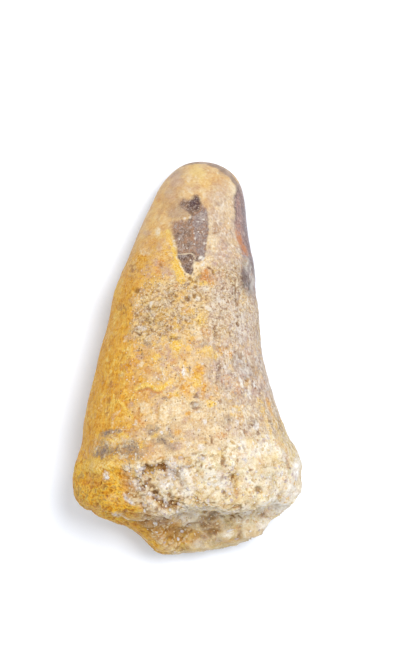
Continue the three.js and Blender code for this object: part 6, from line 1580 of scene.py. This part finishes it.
    # Enamel in the window.
    t = m.blend((0.9, A["window_part"]), (0.22, m.span(sm[0], 0.3, 0.7, -0.5, 0.5, "LINEAR")),
                (0.14, m.span(fi[0], 0.3, 0.7, -0.5, 0.5, "LINEAR")))
    enamel = ramp(t, 0.0, 0.9, (0.0, seen_as(98, 78, 80)), (0.2, seen_as(122, 98, 86)), (0.34, seen_as(166, 138, 118)),
                  (0.45, seen_as(180, 138, 108)), (0.6, seen_as(156, 138, 134)), (0.75, seen_as(186, 171, 163)),
                  (0.88, seen_as(160, 136, 110)), (1.0, seen_as(212, 190, 160)))
    scratch = m.noises((9.0, 0.7, 9.0), 3.0, 0.6)
    enamel = m.mix(m.mul(m.span(m.blend((0.5, mid[1]), (0.5, sm[1])), 0.52, 0.60), 0.3), enamel, seen_as(182, 142, 106))
    enamel = m.mix(m.mul(m.span(m.blend((0.5, sm[2]), (0.5, scratch[2])), 0.51, 0.59), 0.6), enamel, seen_as(200, 184, 176))
    enamel = m.mix(m.mul(m.span(m.blend((0.3, sm[1]), (0.7, scratch[0])), 0.53, 0.60), 0.5), enamel, seen_as(112, 88, 78))
    enamel = m.mix(m.mul(m.span(m.blend((0.5, fi[1]), (0.5, vf[1])), 0.53, 0.60), 0.35), enamel, seen_as(108, 84, 74))
    enamel = m.mix(m.mul(m.span(m.blend((0.5, fi[2]), (0.5, vf[2])), 0.54, 0.60), 0.35), enamel, seen_as(222, 206, 192))
    # Painted glints: small white specks scattered over the enamel.
    glint = m.mul(m.span(m.sep(m.voronoi(2.6, "Color", move=(1, 2, 3))), 0.85, 0.88), m.span(m.voronoi(2.6, move=(1, 2, 3)), 0.30, 0.14))
    enamel = m.mix(m.mul(glint, 0.9), enamel, seen_as(242, 232, 220))
    # Pale and white marks on the enamel: the pale lines along the window's rim are painted highlight, and the small
    # white spots are painted glints.
    enamel = m.mix(m.mul(A["pale"], 0.95), enamel, seen_as(244, 224, 192))
    enamel = m.mix(m.mul(A["white"], 0.95), enamel, seen_as(252, 244, 232))
    colour = m.mix(A["window"], colour, enamel)
    # The strip at the right.
    t = m.blend((0.9, A["strip_part"]), (0.30, m.span(m.blend((0.5, sm[1]), (0.5, lines[0])), 0.35, 0.65, -0.5, 0.5, "LINEAR")))
    strip = ramp(t, 0.0, 0.9, (0.0, seen_as(86, 62, 60)), (0.16, seen_as(132, 102, 100)), (0.32, seen_as(176, 144, 138)),
                 (0.5, seen_as(202, 140, 100)), (0.7, seen_as(180, 160, 160)), (0.86, seen_as(152, 142, 144)),
                 (1.0, seen_as(84, 74, 66)))
    strip = m.mix(m.mul(m.span(m.blend((0.5, scratch[1]), (0.5, fi[2])), 0.52, 0.58), 0.6), strip, seen_as(108, 82, 80))
    strip = m.mix(m.mul(m.span(m.blend((0.5, sm[0]), (0.5, scratch[2])), 0.53, 0.59), 0.55), strip, seen_as(214, 196, 188))
    strip = m.mix(m.mul(m.span(m.blend((0.5, sm[2]), (0.5, mid[0])), 0.53, 0.58), 0.2), strip, seen_as(196, 132, 96))
    strip = m.mix(m.mul(A["rust"], 0.85), strip, seen_as(206, 136, 86))
    strip = m.mix(m.mul(A["white"], 0.95), strip, seen_as(250, 242, 230))
    strip = m.mix(m.mul(A["grey"], 0.7), strip, m.mix(m.span(scratch[0], 0.42, 0.58), seen_as(140, 132, 122), seen_as(204, 198, 186)))
    strip = m.mix(m.mul(A["yellow"], 0.6), strip, seen_as(226, 208, 158))
    strip = m.mix(m.mul(A["dusk"], 0.6), strip, seen_as(98, 76, 76))
    colour = m.mix(m.mul(A["strip"], 0.92), colour, strip)

    # The finest grain over everything.
    grain = m.blend((0.5, fi[1]), (0.5, vf[2]))
    colour = m.mix(1.0, colour, ramp(grain, 0.36, 0.64, (0.0, (0.84, 0.81, 0.78, 1)), (0.5, (0.97, 0.97, 0.96, 1)),
                                     (1.0, (1, 1, 1, 1))), "MULTIPLY")

    enamelled = m.math("MAXIMUM", A["window"], A["strip"])
    rough = m.span(A["tip"], 0, 1, 0.60, 0.44)
    rough = m.add(rough, m.span(sm[0], 0.35, 0.65, -0.10, 0.10))
    rough = m.add(rough, m.mul(A["sandy"], 0.2))
    rough = m.math("SUBTRACT", rough, m.mul(enamelled, 0.26), clamp=True)

    quiet = m.math("MAXIMUM", m.span(A["tip"], 0, 1, 1.0, 0.4), A["sandy"])
    one = m.bump(m.mul(m.blend((0.7, sm[0]), (0.3, sm[1])), quiet), 0.00022)
    two = m.bump(m.mul(m.blend((0.8, fi[0]), (0.08, chip[0])), quiet), 0.00010, one)
    three = m.bump(m.blend((1.0, vf[0])), 0.00004, two)
    m.out(Base_Color=colour, Roughness=rough, Normal=three)
    m.shader.inputs["IOR"].default_value = 1.5
    m.shader.inputs["Specular IOR Level"].default_value = 0.12
    return m.mat


def sand_material():
    m = Nodes("sand_grain")
    kind, tone = m.attr("kind"), m.attr("tone")
    sm = m.noises(3.2, 3.0, 0.6)
    fi = m.noises(9.0, 2.0, 0.6)
    light = m.ramp(kind, [(0.0, seen_as(252, 248, 240)), (0.15, seen_as(240, 226, 220)), (0.25, seen_as(250, 234, 198)),
                          (0.4, seen_as(242, 200, 126)), (0.6, seen_as(212, 204, 180)), (0.8, seen_as(190, 140, 84))], True)
    dark = m.ramp(kind, [(0.0, seen_as(216, 206, 204)), (0.15, seen_as(188, 168, 164)), (0.25, seen_as(224, 194, 144)),
                         (0.4, seen_as(206, 150, 80)), (0.6, seen_as(172, 160, 134)), (0.8, seen_as(128, 88, 50))], True)
    colour = m.mix(m.add(m.mul(tone, 0.8), m.span(sm[0], 0.35, 0.65, -0.35, 0.35, "LINEAR")), dark, light)
    colour = m.mix(m.mul(m.span(sm[1], 0.53, 0.62), 0.5), colour, seen_as(222, 172, 104))
    colour = m.mix(m.mul(m.span(fi[1], 0.55, 0.66), 0.5), colour, seen_as(160, 120, 78))
    rough = m.span(kind, 0.15, 0.3, 0.34, 0.72)
    rough = m.add(rough, m.span(fi[0], 0.35, 0.65, -0.08, 0.08))
    n = m.bump(m.blend((0.6, sm[2]), (0.4, fi[2])), 0.00012)
    m.out(Base_Color=colour, Roughness=rough, Normal=n)
    m.shader.inputs["IOR"].default_value = 1.54
    return m.mat


def floor_material():
    m = Nodes("table")
    wide = m.noise(0.02, 2.0, 0.5)
    colour = m.mix(m.span(wide, 0.3, 0.7), (0.828, 0.873, 0.950, 1), (0.838, 0.878, 0.955, 1))
    m.out(Base_Color=colour, Roughness=0.9, Normal=m.bump(m.noise(1.2, 3.0), 0.00003))
    m.shader.inputs["Specular IOR Level"].default_value = 0.1
    return m.mat


fossil = skin_material()
for ob in (crown, under, crust):
    ob.data.materials.append(fossil)
sand_look = sand_material()
for ob in (sand, quartz):
    ob.data.materials.append(sand_look)

for ob in (crown, under, crust, sand, quartz):
    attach(ob, "root")
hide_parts("tooth")

# ---------------------------------------------------------------- table, light and camera
table = new_object(
    "table", np.array([(-3, -3, 0), (3, -3, 0), (3, 3, 0), (-3, 3, 0)], float) - np.array([0, 0, 2e-5]),
    np.arange(4), np.array([4]), False,
)
table.data.materials.append(floor_material())

world = bpy.data.worlds.new("studio")
world.use_nodes = True
world.node_tree.nodes["Background"].inputs["Color"].default_value = (0.985, 0.992, 1.0, 1)
world.node_tree.nodes["Background"].inputs["Strength"].default_value = 0.96
bpy.context.scene.world = world


def lamp(name, where, size, power, towards=(0, 0, 0.008)):
    light = bpy.data.lights.new(name, "AREA")
    light.shape, light.size, light.energy = "DISK", size, power
    ob = bpy.data.objects.new(name, light)
    ob.location = where
    ob.rotation_mode = "QUATERNION"
    ob.rotation_quaternion = (Vector(towards) - Vector(where)).to_track_quat("-Z", "Y")
    bpy.context.scene.collection.objects.link(ob)
    return ob


lamp("key", (0.125, 0.085, 0.5), 0.20, 2.04)

camera = bpy.data.cameras.new("camera")
camera.lens, camera.sensor_width = LENS, SENSOR
camera.clip_start, camera.clip_end = 0.01, 20.0
eye = bpy.data.objects.new("camera", camera)
turn = Matrix((
    (1, UPWARD[0], -FORWARD[0]),
    (0, UPWARD[1], -FORWARD[1]),
    (0, UPWARD[2], -FORWARD[2]),
))
eye.matrix_world = Matrix.Translation(Vector(CAM / MM)) @ turn.to_4x4()
bpy.context.scene.collection.objects.link(eye)
bpy.context.scene.camera = eye
bpy.context.scene.view_settings.view_transform = "Standard"
